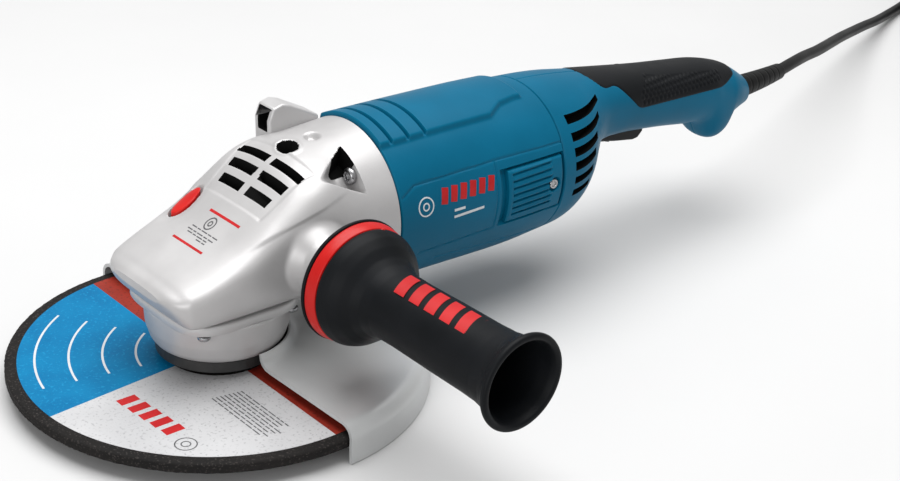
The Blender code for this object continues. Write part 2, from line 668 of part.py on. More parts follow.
def fan():
    axis = (0, 0, MOTOR_AXIS)
    profile = [(7.3, 64), (12, 64), (13, 79), (34.2, 80), (34.2, 82), (7.3, 82)]
    wheel = turned([(r * MM, x * MM) for r, x in profile], 20, "X", axis)
    blades = []
    for k in range(9):
        blade = block((67 * MM, -0.9 * MM, 11 * MM), (81 * MM, 0.9 * MM, 33.8 * MM))
        blade.data.transform(Matrix.Translation(axis) @ Matrix.Rotation(2 * math.pi * k / 9, 4, "X"))
        blades.append(blade)
    join(wheel, *blades)
    name_piece(wheel, "cooling_fan", "black_plastic", axis)


def stator():
    """Laminated yoke with two poles, at -Y and +Y, and a saddle coil round each pole."""
    steps = 36
    bm = bmesh.new()
    rings = []
    for k in range(steps):
        angle = 2 * math.pi * (k + 0.5) / steps
        pole = abs(math.cos(angle)) > math.cos(math.radians(43))
        inner = (27.4 if pole else 38.8) * MM
        ring = [bm.verts.new((x, r * math.cos(angle), MOTOR_AXIS + r * math.sin(angle)))
                for x, r in ((STACK_START, inner), (STACK_START, 45.2 * MM), (STACK_END, 45.2 * MM),
                             (STACK_END, inner))]
        rings.append(ring)
    bridge(bm, rings, closed_loop=True)
    name_piece(solid_from(bm), "stator_core", "steel")
    for side, name in ((-1, "field_coil_right"), (1, "field_coil_left")):
        name_piece(saddle_coil(side), name, "copper")


def saddle_coil(side):
    reach = math.radians(56)
    corner = math.radians(10)
    path = []
    for sign_x, sign_a, first in ((1, 1, 0), (-1, 1, 90), (-1, -1, 180), (1, -1, 270)):
        for k in range(3):
            turn = math.radians(first + 45 * k)
            x = (STACK_START + STACK_END) / 2 + sign_x * 31 * MM + 5.5 * MM * math.cos(turn)
            path.append((x, sign_a * (reach - corner) + corner * math.sin(turn)))
        if sign_x * sign_a < 0:
            for k in range(1, 6):
                a = (reach - corner) * (1 - k / 3) * sign_a
                path.append((path[-1][0] if k > 1 else path[-1][0], a))
    bm = bmesh.new()
    rings = []
    count = len(path)
    for k in range(count):
        x, angle = path[k]
        ahead = path[(k + 1) % count]
        behind = path[k - 1]
        tangent = Vector((ahead[0] - behind[0], (ahead[1] - behind[1]) * 35 * MM)).normalized()
        normal = Vector((-tangent.y, tangent.x)) * 3.2 * MM
        ring = []
        for across, r in ((-1, 31), (1, 31), (1, 36.3), (-1, 36.3)):
            px = x + across * normal.x
            pa = angle + across * normal.y / (35 * MM)
            ring.append(bm.verts.new((px, side * r * MM * math.cos(pa), MOTOR_AXIS + r * MM * math.sin(pa))))
        rings.append(ring)
    bridge(bm, rings, closed_loop=True)
    return solid_from(bm)


def brushes():
    for side, word in ((-1, "right"), (1, "left")):
        low, high = sorted((side * 20.5 * MM, side * 40 * MM))
        holder = block((BRUSH_X - 7 * MM, low, MOTOR_AXIS - 9 * MM), (BRUSH_X + 7 * MM, high, MOTOR_AXIS + 9 * MM))
        cut(holder, block((BRUSH_X - 4.3 * MM, low - MM, MOTOR_AXIS - 6.3 * MM),
                          (BRUSH_X + 4.3 * MM, high + MM, MOTOR_AXIS + 6.3 * MM)))
        name_piece(holder, f"brush_holder_{word}", "black_plastic")
        low, high = sorted((side * 17.6 * MM, side * 36 * MM))
        carbon = block((BRUSH_X - 4 * MM, low, MOTOR_AXIS - 6 * MM), (BRUSH_X + 4 * MM, high, MOTOR_AXIS + 6 * MM))
        name_piece(carbon, f"carbon_brush_{word}", "carbon")


def motor_housing():
    """Barrel with screw bosses and a rear bearing wall inside, a grooved pad and a recess each side."""
    outer = lofted(BARREL_STATIONS, [88.1, 110, 130, 150, 167, 184, 200, 214.5], count=32)
    pad = lofted(BARREL_STATIONS, [92, 150, 202], inset=-2.6, count=32)
    keep(pad, block((91 * MM, -21 * MM, 110 * MM), (203 * MM, 21 * MM, 150 * MM)))
    join(outer, pad)
    lining = lofted(BARREL_STATIONS, [80, 88.1, 120, 150, 185, 214.5, 225], inset=3.6, count=22)
    for y, z in housing_screw_places():
        cut(lining, rod(5.6 * MM, 70 * MM, 96.5 * MM, 10, "X", (0, y, z)))
    wall = [(15.3, 203), (18, 203), (18, 206), (60, 206), (60, 209), (18, 209), (18, 212.4), (15.3, 212.4)]
    cut(lining, turned([(r * MM, x * MM) for r, x in wall], 20, "X", (0, 0, MOTOR_AXIS)))
    cut(outer, lining)
    for k in range(6):
        angle = math.pi / 3 * k
        cut(outer, rod(8 * MM, 200 * MM, 212 * MM, 8, "X", (0, 31 * MM * math.cos(angle),
                                                              MOTOR_AXIS + 31 * MM * math.sin(angle))))
    for y, z in housing_screw_places():
        cut(outer, rod(2.9 * MM, 80 * MM, 99 * MM, 8, "X", (0, y, z)))
    for k in range(3):
        x = (104 + 9 * k) * MM
        cut(outer, block((x - 1.3 * MM, -19 * MM, 131.2 * MM), (x + 1.3 * MM, 19 * MM, 150 * MM)))
    for side in (-1, 1):
        low, high = sorted((side * 47.1 * MM, side * 60 * MM))
        cut(outer, block((163.7 * MM, low, 64.7 * MM), (212.3 * MM, high, 96.3 * MM)))
        low, high = sorted((side * 40 * MM, side * 60 * MM))
        cut(outer, rod(2.2 * MM, low, high, 10, "Y", BRUSH_SCREW))
    name_piece(outer, "motor_housing", "teal_plastic")


def brush_covers():
    """Removable side covers over the brushes, curved with the barrel and louvred."""
    for side, word in ((-1, "right"), (1, "left")):
        cover = lofted(BARREL_STATIONS, [164, 188, 212], inset=-0.3, count=32)
        low, high = sorted((side * 47.4 * MM, side * 60 * MM))
        keep(cover, block((164 * MM, low, 65 * MM), (212 * MM, high, 96 * MM)))
        for k in range(6):
            z = (68.4 + 4.3 * k) * MM
            low, high = sorted((side * 48.7 * MM, side * 60 * MM))
            cut(cover, block((168 * MM, low, z), (198 * MM, high, z + 1.8 * MM)))
        low, high = sorted((side * 40 * MM, side * 60 * MM))
        cut(cover, rod(2.2 * MM, low, high, 10, "Y", BRUSH_SCREW))
        low, high = sorted((side * 48.6 * MM, side * 60 * MM))
        cut(cover, rod(3.9 * MM, low, high, 12, "Y", BRUSH_SCREW))
        name_piece(cover, f"brush_cover_{word}", "teal_plastic")
        head = turned([(0, 0), (1.9 * MM, 0), (1.9 * MM, 5.4 * MM), (3.5 * MM, 5.4 * MM),
                       (3.5 * MM, 7.0 * MM), (0, 7.0 * MM)], 12, "Y")
        flip = Matrix.Rotation(math.pi if side < 0 else 0, 4, "Z")
        seat = BRUSH_SCREW + Vector((0, side * 43.5 * MM, 0))
        head.data.transform(Matrix.Translation(seat) @ flip)
        name_piece(head, f"brush_cover_screw_{word}", "steel")


# ---------------------------------------------------------------- rear handle

HANDLE_XS = [214.8, 228, 239, 248, 256, 264, 273, 286, 312, 348, 382, 389, 396, 404, 412, 421, 430.5]
GRIP_EDGE = [(259, 140), (264, 127), (274, 116.5), (286, 116.5), (305, 98.5), (393, 95.5), (409, 99),
             (417, 106), (424, 140)]


def handle():
    """Two shells split on the middle plane, with a soft grip let into their top."""
    outer = lofted(HANDLE_STATIONS, HANDLE_XS, count=22)
    zone = extruded([(x * MM, z * MM) for x, z in GRIP_EDGE], -60 * MM, 60 * MM)
    skin = keep(copy_of(zone), copy_of(outer))
    cut(skin, lofted(HANDLE_STATIONS, HANDLE_XS[1:-1], inset=2.6, count=22))
    bpy.data.objects.remove(zone, do_unlink=True)
    wide_zone = extruded(offset_outline(GRIP_EDGE, 0.35), -60 * MM, 60 * MM)
    cut(wide_zone, lofted(HANDLE_STATIONS, HANDLE_XS[1:-1], inset=2.95, count=22))
    cut(outer, wide_zone)
    cut(outer, lofted(HANDLE_STATIONS, [205, 214.8, 232, 245, 255, 265, 280, 320, 365, 390, 402, 414,
                                        422], inset=6.2, count=16))
    cut(outer, rod(5.2 * MM, 412 * MM, 440 * MM, 12, "X", (0, 0, CORD_EXIT_Z)))
    cut(outer, block((277.5 * MM, -10.5 * MM, 60 * MM), (328.5 * MM, 10.5 * MM, 92 * MM)))
    for side in (-1, 1):
        low, high = sorted((side * 8 * MM, side * 14 * MM))
        cut(outer, rod(2.3 * MM, low, high, 10, "Y", TRIGGER_PIVOT))
    for slot in handle_vents():
        cut(outer, slot)
    left = copy_of(outer)
    cut(left, block((200 * MM, -80 * MM, -20 * MM), (460 * MM, 0.15 * MM, 200 * MM)))
    cut(outer, block((200 * MM, -0.15 * MM, -20 * MM), (460 * MM, 80 * MM, 200 * MM)))
    name_piece(left, "handle_shell_left", "teal_plastic")
    name_piece(outer, "handle_shell_right", "teal_plastic")
    name_piece(skin, "soft_grip", "soft_black")


def offset_outline(outline, distance):
    """Grow a closed outline by moving every edge out, as a simple push along vertex normals."""
    grown = []
    count = len(outline)
    for k in range(count):
        here = Vector(outline[k])
        before = (here - Vector(outline[k - 1])).normalized()
        after = (Vector(outline[(k + 1) % count]) - here).normalized()
        normal = Vector((before.y + after.y, -before.x - after.x))
        out = normal.normalized() * distance / max(0.5, normal.length / 2)
        grown.append(((here.x + out.x) * MM, (here.y + out.y) * MM))
    return grown


def handle_vents():
    """Air slots along both flanks, where the shells carry on the barrel."""
    slots = []
    for side in (-1, 1):
        for k in range(7):
            z = (59 + 9.4 * k) * MM
            low, high = sorted((side * 30 * MM, side * 60 * MM))
            slots.append(block((219.5 * MM, low, z - 1.9 * MM), (247 * MM, high, z + 1.9 * MM)))
    return slots


def trigger_group():
    """Paddle under the handle, pivoted at its front on a cross pin, with a lock-off slider."""
    shape = [(278.5, 78.5), (281, 76), (318, 69.5), (322, 70), (327, 74), (327, 88), (278.5, 88)]
    paddle = extruded([(x * MM, z * MM) for x, z in shape], -10 * MM, 10 * MM)
    cut(paddle, block((288.5 * MM, -8 * MM, 79.2 * MM), (324.5 * MM, 8 * MM, 95 * MM)),
        rod(2.3 * MM, -12 * MM, 12 * MM, 12, "Y", TRIGGER_PIVOT),
        block((291.4 * MM, -1.6 * MM, 60 * MM), (301.6 * MM, 1.6 * MM, 85 * MM)))
    name_piece(paddle, "trigger", "black_plastic", TRIGGER_PIVOT)
    pin = rod(2 * MM, -13.5 * MM, 13.5 * MM, 12, "Y", TRIGGER_PIVOT)
    name_piece(pin, "trigger_pin", "steel", TRIGGER_PIVOT)
    plate = extruded([(289 * MM, 74.2 * MM), (301 * MM, 72.1 * MM), (301 * MM, 70.3 * MM),
                      (289 * MM, 72.4 * MM)], -4.5 * MM, 4.5 * MM)
    join(plate, block((292 * MM, -1.3 * MM, 72.8 * MM), (296 * MM, 1.3 * MM, 80.5 * MM)))
    name_piece(plate, "trigger_lock", "black_plastic", (294 * MM, 0, 73 * MM))


def switch_group():
    module = block((289 * MM, -11 * MM, 92 * MM), (334 * MM, 11 * MM, 105.6 * MM))
    cut(module, block((304.6 * MM, -4.4 * MM, 84 * MM), (311.4 * MM, 4.4 * MM, 99 * MM)))
    name_piece(module, "switch_module", "black_plastic")
    plunger = block((305 * MM, -4 * MM, 79.5 * MM), (311 * MM, 4 * MM, 94.5 * MM))
    name_piece(plunger, "switch_plunger", "black_plastic", (308 * MM, 0, 87 * MM))


# ---------------------------------------------------------------- side handle

def side_handle():
    """Threaded stud, vibration-damping ring and the soft grip with its flared, hollow end."""
    at = (SIDE_X, 0, SIDE_Z)
    stud = [(0, -104), (6.8, -104), (6.8, -35), (0, -35)]
    name_piece(turned_mm(stud, 12, at), "side_handle_stud", "steel")
    ring = [(28.3, -83.2), (28.3, -76.1), (33.3, -76.1), (33.4, -77), (32, -83.2)]
    name_piece(turned_mm(ring, 28, at), "side_handle_damper", "red_plastic")
    body = [(7.1, -104.3), (7.1, -60.5), (14, -60.5), (17, -66), (25, -71.5), (33.4, -73.6), (34, -74.6),
            (33.6, -75.8), (28, -75.8), (28, -83.5), (31.6, -83.5), (32, -86), (30.8, -90), (27, -95.5),
            (22.8, -99.5), (19.6, -105), (18.4, -113), (18.8, -184), (20.4, -193), (25.3, -201.5),
            (24.5, -204), (21.4, -203), (18, -195), (14, -180), (14, -164), (0, -164), (0, -104.3)]
    name_piece(turned_mm(body, 24, at), "side_handle_grip", "soft_black")


def turned_mm(profile, segments, at):
    return turned([(r * MM, y * MM) for r, y in profile], segments, "Y", at)


# ---------------------------------------------------------------- cord

BOOT_PATH = [(416, 0, 80), (430.8, 0, 80), (431.2, 0, 80), (450, 1.2, 80), (470, 4, 79.5), (490, 8.5, 78.3)]
BOOT_RADII = [4.9, 4.9, 8.2, 7.5, 6.8, 5.8]
CORD_ROUTE = [(490.4, 8.6, 78.3), (521, 18.5, 76.3), (555, 32.5, 71), (592, 49, 63), (640, 72, 53),
              (693, 97, 42.5), (745, 120.5, 32), (797, 143, 22), (845, 162, 13.4), (894, 181, 6.8),
              (935, 195, 3.5), (968, 205, 3.2)]


def smooth_route(points, step):
    """Points about step apart on the Catmull-Rom curve through the route (mm in, metres out)."""
    route = [Vector(point) * MM for point in points]
    ends = [route[0] * 2 - route[1]] + route + [route[-1] * 2 - route[-2]]
    fine = []
    for k in range(1, len(ends) - 2):
        p0, p1, p2, p3 = ends[k - 1:k + 3]
        for j in range(20):
            t = j / 20
            fine.append(0.5 * (2 * p1 + (p2 - p0) * t + (2 * p0 - 5 * p1 + 4 * p2 - p3) * t ** 2
                               + (3 * p1 - p0 - 3 * p2 + p3) * t ** 3))
    fine.append(route[-1])
    total = sum((b - a).length for a, b in zip(fine, fine[1:]))
    count = max(2, round(total / step))
    spaced = [fine[0]]
    travelled = 0.0
    for a, b in zip(fine, fine[1:]):
        length = (b - a).length
        while len(spaced) < count and travelled + length >= total * len(spaced) / count:
            part = (total * len(spaced) / count - travelled) / length
            spaced.append(a.lerp(b, part))
        travelled += length
    spaced.append(fine[-1])
    return spaced


def swept(points, radii, sides=16):
    """A round solid along a path; each ring stands square to the path."""
    bm = bmesh.new()
    rings = []
    for k, point in enumerate(points):
        ahead = points[min(k + 1, len(points) - 1)]
        behind = points[max(k - 1, 0)]
        tangent = (ahead - behind).normalized()
        across = tangent.cross(Vector((0, 0, 1))).normalized()
        upward = across.cross(tangent)
        ring = []
        for j in range(sides):
            angle = 2 * math.pi * j / sides
            ring.append(bm.verts.new(point + (across * math.cos(angle) + upward * math.sin(angle)) * radii[k]))
        rings.append(ring)
    bridge(bm, rings)
    return solid_from(bm)


def strain_relief():
    points = [Vector(point) * MM for point in BOOT_PATH]
    name_piece(swept(points, [r * MM for r in BOOT_RADII]), "strain_relief", "rubber")


def cord_run():
    curve = bpy.data.curves.new("cord", "CURVE")
    curve.dimensions = "3D"
    spline = curve.splines.new("POLY")
    route = smooth_route(CORD_ROUTE, 22 * MM)
    spline.points.add(len(route) - 1)
    for point, place in zip(spline.points, route):
        point.co = (*place, 1)
    curve.bevel_depth = CORD_RADIUS
    curve.bevel_resolution = 2
    curve.use_fill_caps = True
    curve.materials.append(make_material("rubber"))
    obj = bpy.data.objects.new("cord", curve)
    bpy.context.scene.collection.objects.link(obj)
    return route


def coil_frame(route):
    """Centre of the coil and the direction in which the cord reaches it."""
    heading = (route[-1] - route[-2])
    heading.z = 0
    heading.normalize()
    side = Vector((heading.y, -heading.x, 0))
    outer_turn = COIL_RADIUS + COIL_HALF_WIDTH - CORD_RADIUS
    reach = math.sqrt((COIL_RADIUS + COIL_HALF_WIDTH + GAP) ** 2 - (outer_turn - CORD_RADIUS) ** 2)
    centre = route[-1] + heading * (reach + GAP) + side * outer_turn
    centre.z = GUARD_BOTTOM
    return centre, heading, side


def cord_coil(centre):
    inner = COIL_RADIUS - COIL_HALF_WIDTH
    outer = COIL_RADIUS + COIL_HALF_WIDTH
    soft = 6 * MM
    profile = [(inner, soft), (inner + soft, 0), (outer - soft, 0), (outer, soft),
               (outer, COIL_HEIGHT - soft), (outer - soft, COIL_HEIGHT), (inner + soft, COIL_HEIGHT),
               (inner, COIL_HEIGHT - soft)]
    name_piece(turned(profile, 28, "Z", centre), "cord_coil", "rubber")


def plug(centre, heading, side):
    """Two-pin mains plug lying flat beside the coil, its lead coming down off the outer turn."""
    start = centre + side * PLUG_OFFSET - heading * PLUG_LEAD + Vector((0, 0, 15.6 * MM))
    profile = [(0, 0), (5.2, 0), (5.8, 16), (10, 22), (15.5, 27), (16, 46), (14.5, 52), (0, 52)]
    body = turned([(r * MM, x * MM) for r, x in profile], 24, "X")
    body.data.transform(Matrix.Diagonal((1, 1.15, 0.95, 1)))
    for shift in (-9.5 * MM, 9.5 * MM):
        join(body, rod(2.4 * MM, 50 * MM, 71 * MM, 12, "X", (0, shift, 0)))
    direction = -heading
    turn = math.atan2(direction.y, direction.x)
    body.data.transform(Matrix.Translation(start) @ Matrix.Rotation(turn, 4, "Z"))
    name_piece(body, "plug", "rubber")


def build():
    clear_scene()
    gear_housing()
    bearing_cover()
    gear_head_screws()
    spindle_lock()
    crown_gear()
    pinion()
    spindle_group()
    wheel_end()
    guard()
    motor()
    motor_housing()
    brush_covers()
    handle()
    trigger_group()
    switch_group()
    side_handle()
    strain_relief()
    centre, heading, side = coil_frame(cord_run())
    cord_coil(centre)
    plug(centre, heading, side)


build()
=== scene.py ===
from math import atan2, ceil, cos, degrees, dist, hypot, pi, radians, sin

import bmesh
import bpy
import numpy as np
from mathutils import Matrix, Vector
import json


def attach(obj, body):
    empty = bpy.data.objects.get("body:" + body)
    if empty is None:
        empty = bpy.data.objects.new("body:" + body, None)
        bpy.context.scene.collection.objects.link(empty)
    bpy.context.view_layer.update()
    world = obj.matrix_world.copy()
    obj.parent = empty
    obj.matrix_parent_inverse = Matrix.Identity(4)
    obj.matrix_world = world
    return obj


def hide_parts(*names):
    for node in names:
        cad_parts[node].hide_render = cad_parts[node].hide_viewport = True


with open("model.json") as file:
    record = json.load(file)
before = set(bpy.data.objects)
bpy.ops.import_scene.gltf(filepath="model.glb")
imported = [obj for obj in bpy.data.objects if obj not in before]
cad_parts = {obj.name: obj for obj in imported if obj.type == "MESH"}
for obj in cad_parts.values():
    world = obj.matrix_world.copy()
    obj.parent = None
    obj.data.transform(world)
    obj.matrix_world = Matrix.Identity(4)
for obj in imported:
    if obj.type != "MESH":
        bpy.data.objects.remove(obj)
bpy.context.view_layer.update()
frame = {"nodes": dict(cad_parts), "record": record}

NODES = frame["nodes"]
MM = 0.001
MOTOR_AXIS = 80.7
SIDE_X = 35.0
SIDE_Z = 76.8
FLOOR_Z = -1.3
CORD_RADIUS = 4.4
CAMERA_ANGLES = (-42.441, 25.602, 3.384)      # azimuth, elevation and roll in degrees
CAMERA_SPOT = Vector((-0.42885, -0.65409, 0.45780))

HEAD_STATIONS = [
    (-50.5, 22, 65.0, 69.5, 2.6), (-47.5, 31, 60.0, 71.5, 3.2), (-43.5, 36.5, 55.0, 73.0, 3.8),
    (-40, 39, 52.3, 74.6, 4.2), (-28, 41.5, 52.3, 79, 4.6), (-8, 43, 52.3, 88.5, 4.4),
    (12, 44, 52.3, 102, 3.6), (30, 45, 52.3, 116.5, 3.0), (36.5, 45.5, 52.3, 120.2, 2.85),
    (45, 46.2, 46.5, 123.5, 2.65), (60, 48, 33.5, 126.5, 2.3), (87.8, 49.6, 31.1, 130.3, 2.0)]
BARREL_STATIONS = [
    (88.1, 49.6, 31.1, 130.3, 2.0), (140, 50, 30.0, 130.2, 2.0), (185, 50, 29.4, 129.8, 2.0),
    (214.5, 49.3, 31.2, 129.0, 2.0)]
HANDLE_STATIONS = [
    (214.8, 49.3, 31.2, 129.0, 2.0), (230, 48.3, 32.8, 128.3, 2.0), (241, 45.5, 37.5, 127.4, 2.05),
    (250, 41, 45, 126.5, 2.1), (258, 35, 56, 125.5, 2.15), (266, 29.5, 68.5, 124.4, 2.2),
    (276, 26, 76, 123, 2.3), (295, 24.2, 77.5, 120.3, 2.35), (330, 23.2, 74.5, 115.5, 2.4),
    (362, 22.8, 70, 112, 2.4), (384, 22.6, 66.5, 109.5, 2.4), (394, 22.3, 53.5, 107.8, 2.3),
    (403, 21.5, 53, 105.4, 2.3), (409, 20.6, 63.5, 103.4, 2.2), (417, 18.5, 66.8, 99.5, 2.1),
    (430.5, 13, 68.6, 91.4, 2.0)]
GRIP_CORNERS = [(259, 140), (264, 127), (274, 116.5), (286, 116.5), (305, 98.5), (393, 95.5),
                (409, 99), (417, 106), (424, 140)]
CORD_ROUTE = [(490.4, 8.6, 78.3), (521, 18.5, 76.3), (555, 32.5, 71), (592, 49, 63), (640, 72, 53),
              (693, 97, 42.5), (745, 120.5, 32), (797, 143, 22), (845, 162, 13.4), (894, 181, 6.8),
              (935, 195, 3.5), (968, 205, 3.2)]
BOOT_PATH = [(416, 0, 80), (430.8, 0, 80), (450, 1.2, 80), (470, 4, 79.5), (490, 8.5, 78.3)]


# Materials

def node(tree, kind, **inputs):
    made = tree.nodes.new(kind)
    for name, value in inputs.items():
        made.inputs[name.replace("_", " ")].default_value = value
    return made


def noise(tree, vector, scale, detail=3.0):
    made = node(tree, "ShaderNodeTexNoise", Scale=scale, Detail=detail)
    tree.links.new(vector, made.inputs["Vector"])
    return made.outputs["Fac"]


def remap(tree, value, low, high, to_low, to_high):
    made = tree.nodes.new("ShaderNodeMapRange")
    for name, number in zip(("From Min", "From Max", "To Min", "To Max"), (low, high, to_low, to_high)):
        made.inputs[name].default_value = number
    tree.links.new(value, made.inputs["Value"])
    return made.outputs["Result"]


def mix(tree, factor, first, second):
    made = tree.nodes.new("ShaderNodeMix")
    made.data_type = "RGBA"
    tree.links.new(factor, made.inputs["Factor"])
    for socket, value in ((made.inputs["A"], first), (made.inputs["B"], second)):
        if isinstance(value, tuple):
            socket.default_value = (*value, 1)
        else:
            tree.links.new(value, socket)
    return made.outputs["Result"]


TONE = 0.74    # scales every finish but the floor's, so that less light bounces between surfaces
LOOKS = {}


def finish(name, hole_shade, light, rough, metallic=0.0, patch=30.0, grain=1400.0, bump=0.15, coat=0.0,
           wear=None, speck=None, stretch=(1, 1, 1), gloss=0.5, tone=TONE):
    """A material with patchy colour, uneven gloss, a fine grain and, if asked, worn edges or specks."""
    hole_shade, light, wear, speck = (None if c is None else tuple(v * tone for v in c)
                                for c in (hole_shade, light, wear, speck))
    material = bpy.data.materials.new(name + "_look")
    material.use_nodes = True
    tree = material.node_tree
    shader = tree.nodes["Principled BSDF"]
    shader.inputs["Metallic"].default_value = metallic
    shader.inputs["Coat Weight"].default_value = coat
    shader.inputs["Coat Roughness"].default_value = 0.15
    shader.inputs["Specular IOR Level"].default_value = gloss * tone
    place = tree.nodes.new("ShaderNodeTexCoord").outputs["Object"]
    scaled = node(tree, "ShaderNodeMapping", Scale=stretch)
    tree.links.new(place, scaled.inputs["Vector"])
    broad = noise(tree, place, patch, 5)
    fine = noise(tree, scaled.outputs["Vector"], grain, 2)
    colour = mix(tree, remap(tree, broad, 0.3, 0.7, 0, 1), hole_shade, light)
    if speck:
        dots = remap(tree, fine, 0.58, 0.68, 0, 1)
        colour = mix(tree, dots, colour, speck)
    if wear:
        edges = tree.nodes.new("ShaderNodeNewGeometry").outputs["Pointiness"]
        colour = mix(tree, remap(tree, edges, 0.52, 0.58, 0, 0.6), colour, wear)
    tree.links.new(colour, shader.inputs["Base Color"])
    tree.links.new(remap(tree, broad, 0.3, 0.7, rough * 0.88, rough * 1.15), shader.inputs["Roughness"])
    relief = node(tree, "ShaderNodeBump", Strength=bump, Distance=0.0002)
    tree.links.new(fine, relief.inputs["Height"])
    tree.links.new(relief.outputs["Normal"], shader.inputs["Normal"])
    LOOKS[name] = material


finish("cast_alloy", (0.55, 0.54, 0.54), (0.66, 0.65, 0.65), 0.40, 0.32, 26, 1100, 0.12,
        wear=(0.8, 0.8, 0.8))
finish("sheet_steel", (0.62, 0.63, 0.63), (0.72, 0.73, 0.73), 0.36, 0.3, 18, 1700, 0.06, 0.15)
finish("teal_plastic", (0.0004, 0.118, 0.218), (0.0007, 0.142, 0.262), 0.38, 0, 22, 1500, 0.16,
        wear=(0.002, 0.18, 0.31), gloss=0.12)
finish("black_plastic", (0.004, 0.004, 0.005), (0.009, 0.009, 0.010), 0.36, 0, 30, 1500, 0.14,
        gloss=0.2)
finish("soft_black", (0.004, 0.005, 0.006), (0.008, 0.009, 0.011), 0.46, 0, 35, 1900, 0.22, gloss=0.14)
finish("red_plastic", (0.56, 0.006, 0.005), (0.68, 0.012, 0.008), 0.36, 0, 40, 1400, 0.10, gloss=0.35)
finish("steel", (0.42, 0.42, 0.43), (0.60, 0.60, 0.61), 0.26, 1.0, 60, 900, 0.12, stretch=(1, 1, 6))
finish("black_steel", (0.006, 0.006, 0.006), (0.016, 0.015, 0.014), 0.42, 0.5, 50, 1200, 0.20,
        wear=(0.12, 0.12, 0.12), gloss=0.3)
finish("abrasive", (0.006, 0.0055, 0.0055), (0.020, 0.018, 0.017), 0.85, 0, 60, 900, 0.9,
        speck=(0.055, 0.048, 0.045), gloss=0.25)
finish("copper", (0.45, 0.16, 0.06), (0.66, 0.27, 0.12), 0.34, 1.0, 60, 900, 0.3, stretch=(0.2, 1, 1))
finish("carbon", (0.012, 0.012, 0.013), (0.03, 0.03, 0.03), 0.5, 0.1, 50, 1500, 0.3)
finish("bronze", (0.32, 0.19, 0.07), (0.46, 0.29, 0.12), 0.36, 1.0, 60, 1200, 0.2)
finish("rubber", (0.004, 0.004, 0.004), (0.008, 0.008, 0.008), 0.46, 0, 25, 1700, 0.22, gloss=0.2)
# near-black painted shade, put on the floors and walls of vents, slots, pockets and the trigger mouth
finish("hole_shade", (0.002, 0.002, 0.002), (0.005, 0.005, 0.005), 0.8, 0, 60, 900, 0.2, gloss=0.1)
finish("label_blue", (0.001, 0.165, 0.38), (0.003, 0.225, 0.47), 0.42, 0, 45, 520, 0.45,
        speck=(0.01, 0.27, 0.54), gloss=0.12)
finish("label_silver", (0.64, 0.64, 0.65), (0.80, 0.80, 0.81), 0.40, 0.2, 16, 620, 0.4,
        speck=(0.50, 0.50, 0.51), gloss=0.4)
finish("label_red", (0.27, 0.022, 0.012), (0.36, 0.034, 0.018), 0.45, 0, 60, 600, 0.4,
        speck=(0.16, 0.020, 0.012), gloss=0.25)
# near-black field of the label from x = 9.2 mm on, beneath the guard
finish("label_dark_field", (0.03, 0.03, 0.03), (0.07, 0.07, 0.07), 0.5, 0, 40, 600, 0.4, gloss=0.25)
finish("ink_white", (0.66, 0.68, 0.70), (0.78, 0.80, 0.82), 0.4, 0, 60, 900, 0.1)
finish("ink_red", (0.50, 0.010, 0.012), (0.62, 0.016, 0.018), 0.40, 0, 60, 1200, 0.1, gloss=0.3)
finish("ink_grey", (0.07, 0.07, 0.075), (0.12, 0.12, 0.125), 0.45, 0, 60, 1200, 0.1)
finish("floor", (0.55, 0.55, 0.55), (0.57, 0.57, 0.57), 0.8, 0, 3, 60, 0.01, gloss=0.1, tone=1.0)


# Mesh tools

def add_object(name, data):
    obj = bpy.data.objects.new(name, data)
    bpy.context.scene.collection.objects.link(obj)
    return obj


def new_object(name, verts, faces):
    mesh = bpy.data.meshes.new(name)
    mesh.from_pydata(verts, [], faces)
    return add_object(name, mesh)


def apply_modifiers(obj):
    bpy.context.view_layer.update()
    graph = bpy.context.evaluated_depsgraph_get()
    mesh = bpy.data.meshes.new_from_object(obj.evaluated_get(graph))
    obj.modifiers.clear()
    obj.data = mesh


def piece(obj, look, body="tool_body", nodes=(), slot=None, extra=(), sharp=38):
    """Give a finished mesh its materials and shading, hide the CAD nodes it stands for and attach it to
    its body; the slot argument is not used.
    """
    for name in (look, *extra):
        obj.data.materials.append(LOOKS[name])
    if obj.type == "MESH":
        obj.data.shade_smooth()
        obj.data.set_sharp_from_angle(angle=radians(sharp))
    slot or look
    if nodes:
        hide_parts(*nodes)
    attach(obj, body)
    return obj


def tidy_mesh(obj, merge=1e-7):
    """Merge doubled points and make the faces point out."""
    bm = bmesh.new()
    bm.from_mesh(obj.data)
    bmesh.ops.remove_doubles(bm, verts=bm.verts, dist=merge)
    bmesh.ops.dissolve_degenerate(bm, dist=1e-7, edges=bm.edges)
    bmesh.ops.recalc_face_normals(bm, faces=bm.faces)
    bm.to_mesh(obj.data)
    bm.free()
    return obj


def grid(name, points, wrap_rows=False, wrap_cols=True, caps=False, shade_points=None):
    """Skin a (rows, cols, 3) array of points in mm; the mask marks points whose faces get the second
    material, near-black painted shade.
    """
    rows, cols, _ = points.shape
    index = np.arange(rows * cols).reshape(rows, cols)
    if wrap_rows:
        index = np.vstack([index, index[:1]])
    if wrap_cols:
        index = np.hstack([index, index[:, :1]])
    quads = np.stack([index[:-1, :-1], index[:-1, 1:], index[1:, 1:], index[1:, :-1]], axis=-1)
    quads = quads.reshape(-1, 4)
    faces = quads.tolist()
    if caps:
        faces.append(list(range(cols)))
        faces.append(list(range((rows - 1) * cols, rows * cols))[::-1])
    obj = new_object(name, (points.reshape(-1, 3) * MM).tolist(), faces)
    if shade_points is not None:
        flags = shade_points.reshape(-1)[quads].any(axis=1)
        values = np.zeros(len(faces), dtype=np.int32)
        values[:len(quads)] = flags
        obj.data.polygons.foreach_set("material_index", values)
    return tidy_mesh(obj)


def step(value, low, high):
    """Smooth rise from 0 at low to 1 at high."""
    t = np.clip((value - low) / (high - low), 0, 1)
    return t * t * (3 - 2 * t)


def inside(value, low, high, edge):
    """1 between low and high, fading to 0 over the width edge inside both ends."""
    return step(value, low, low + edge) * (1 - step(value, high - edge, high))


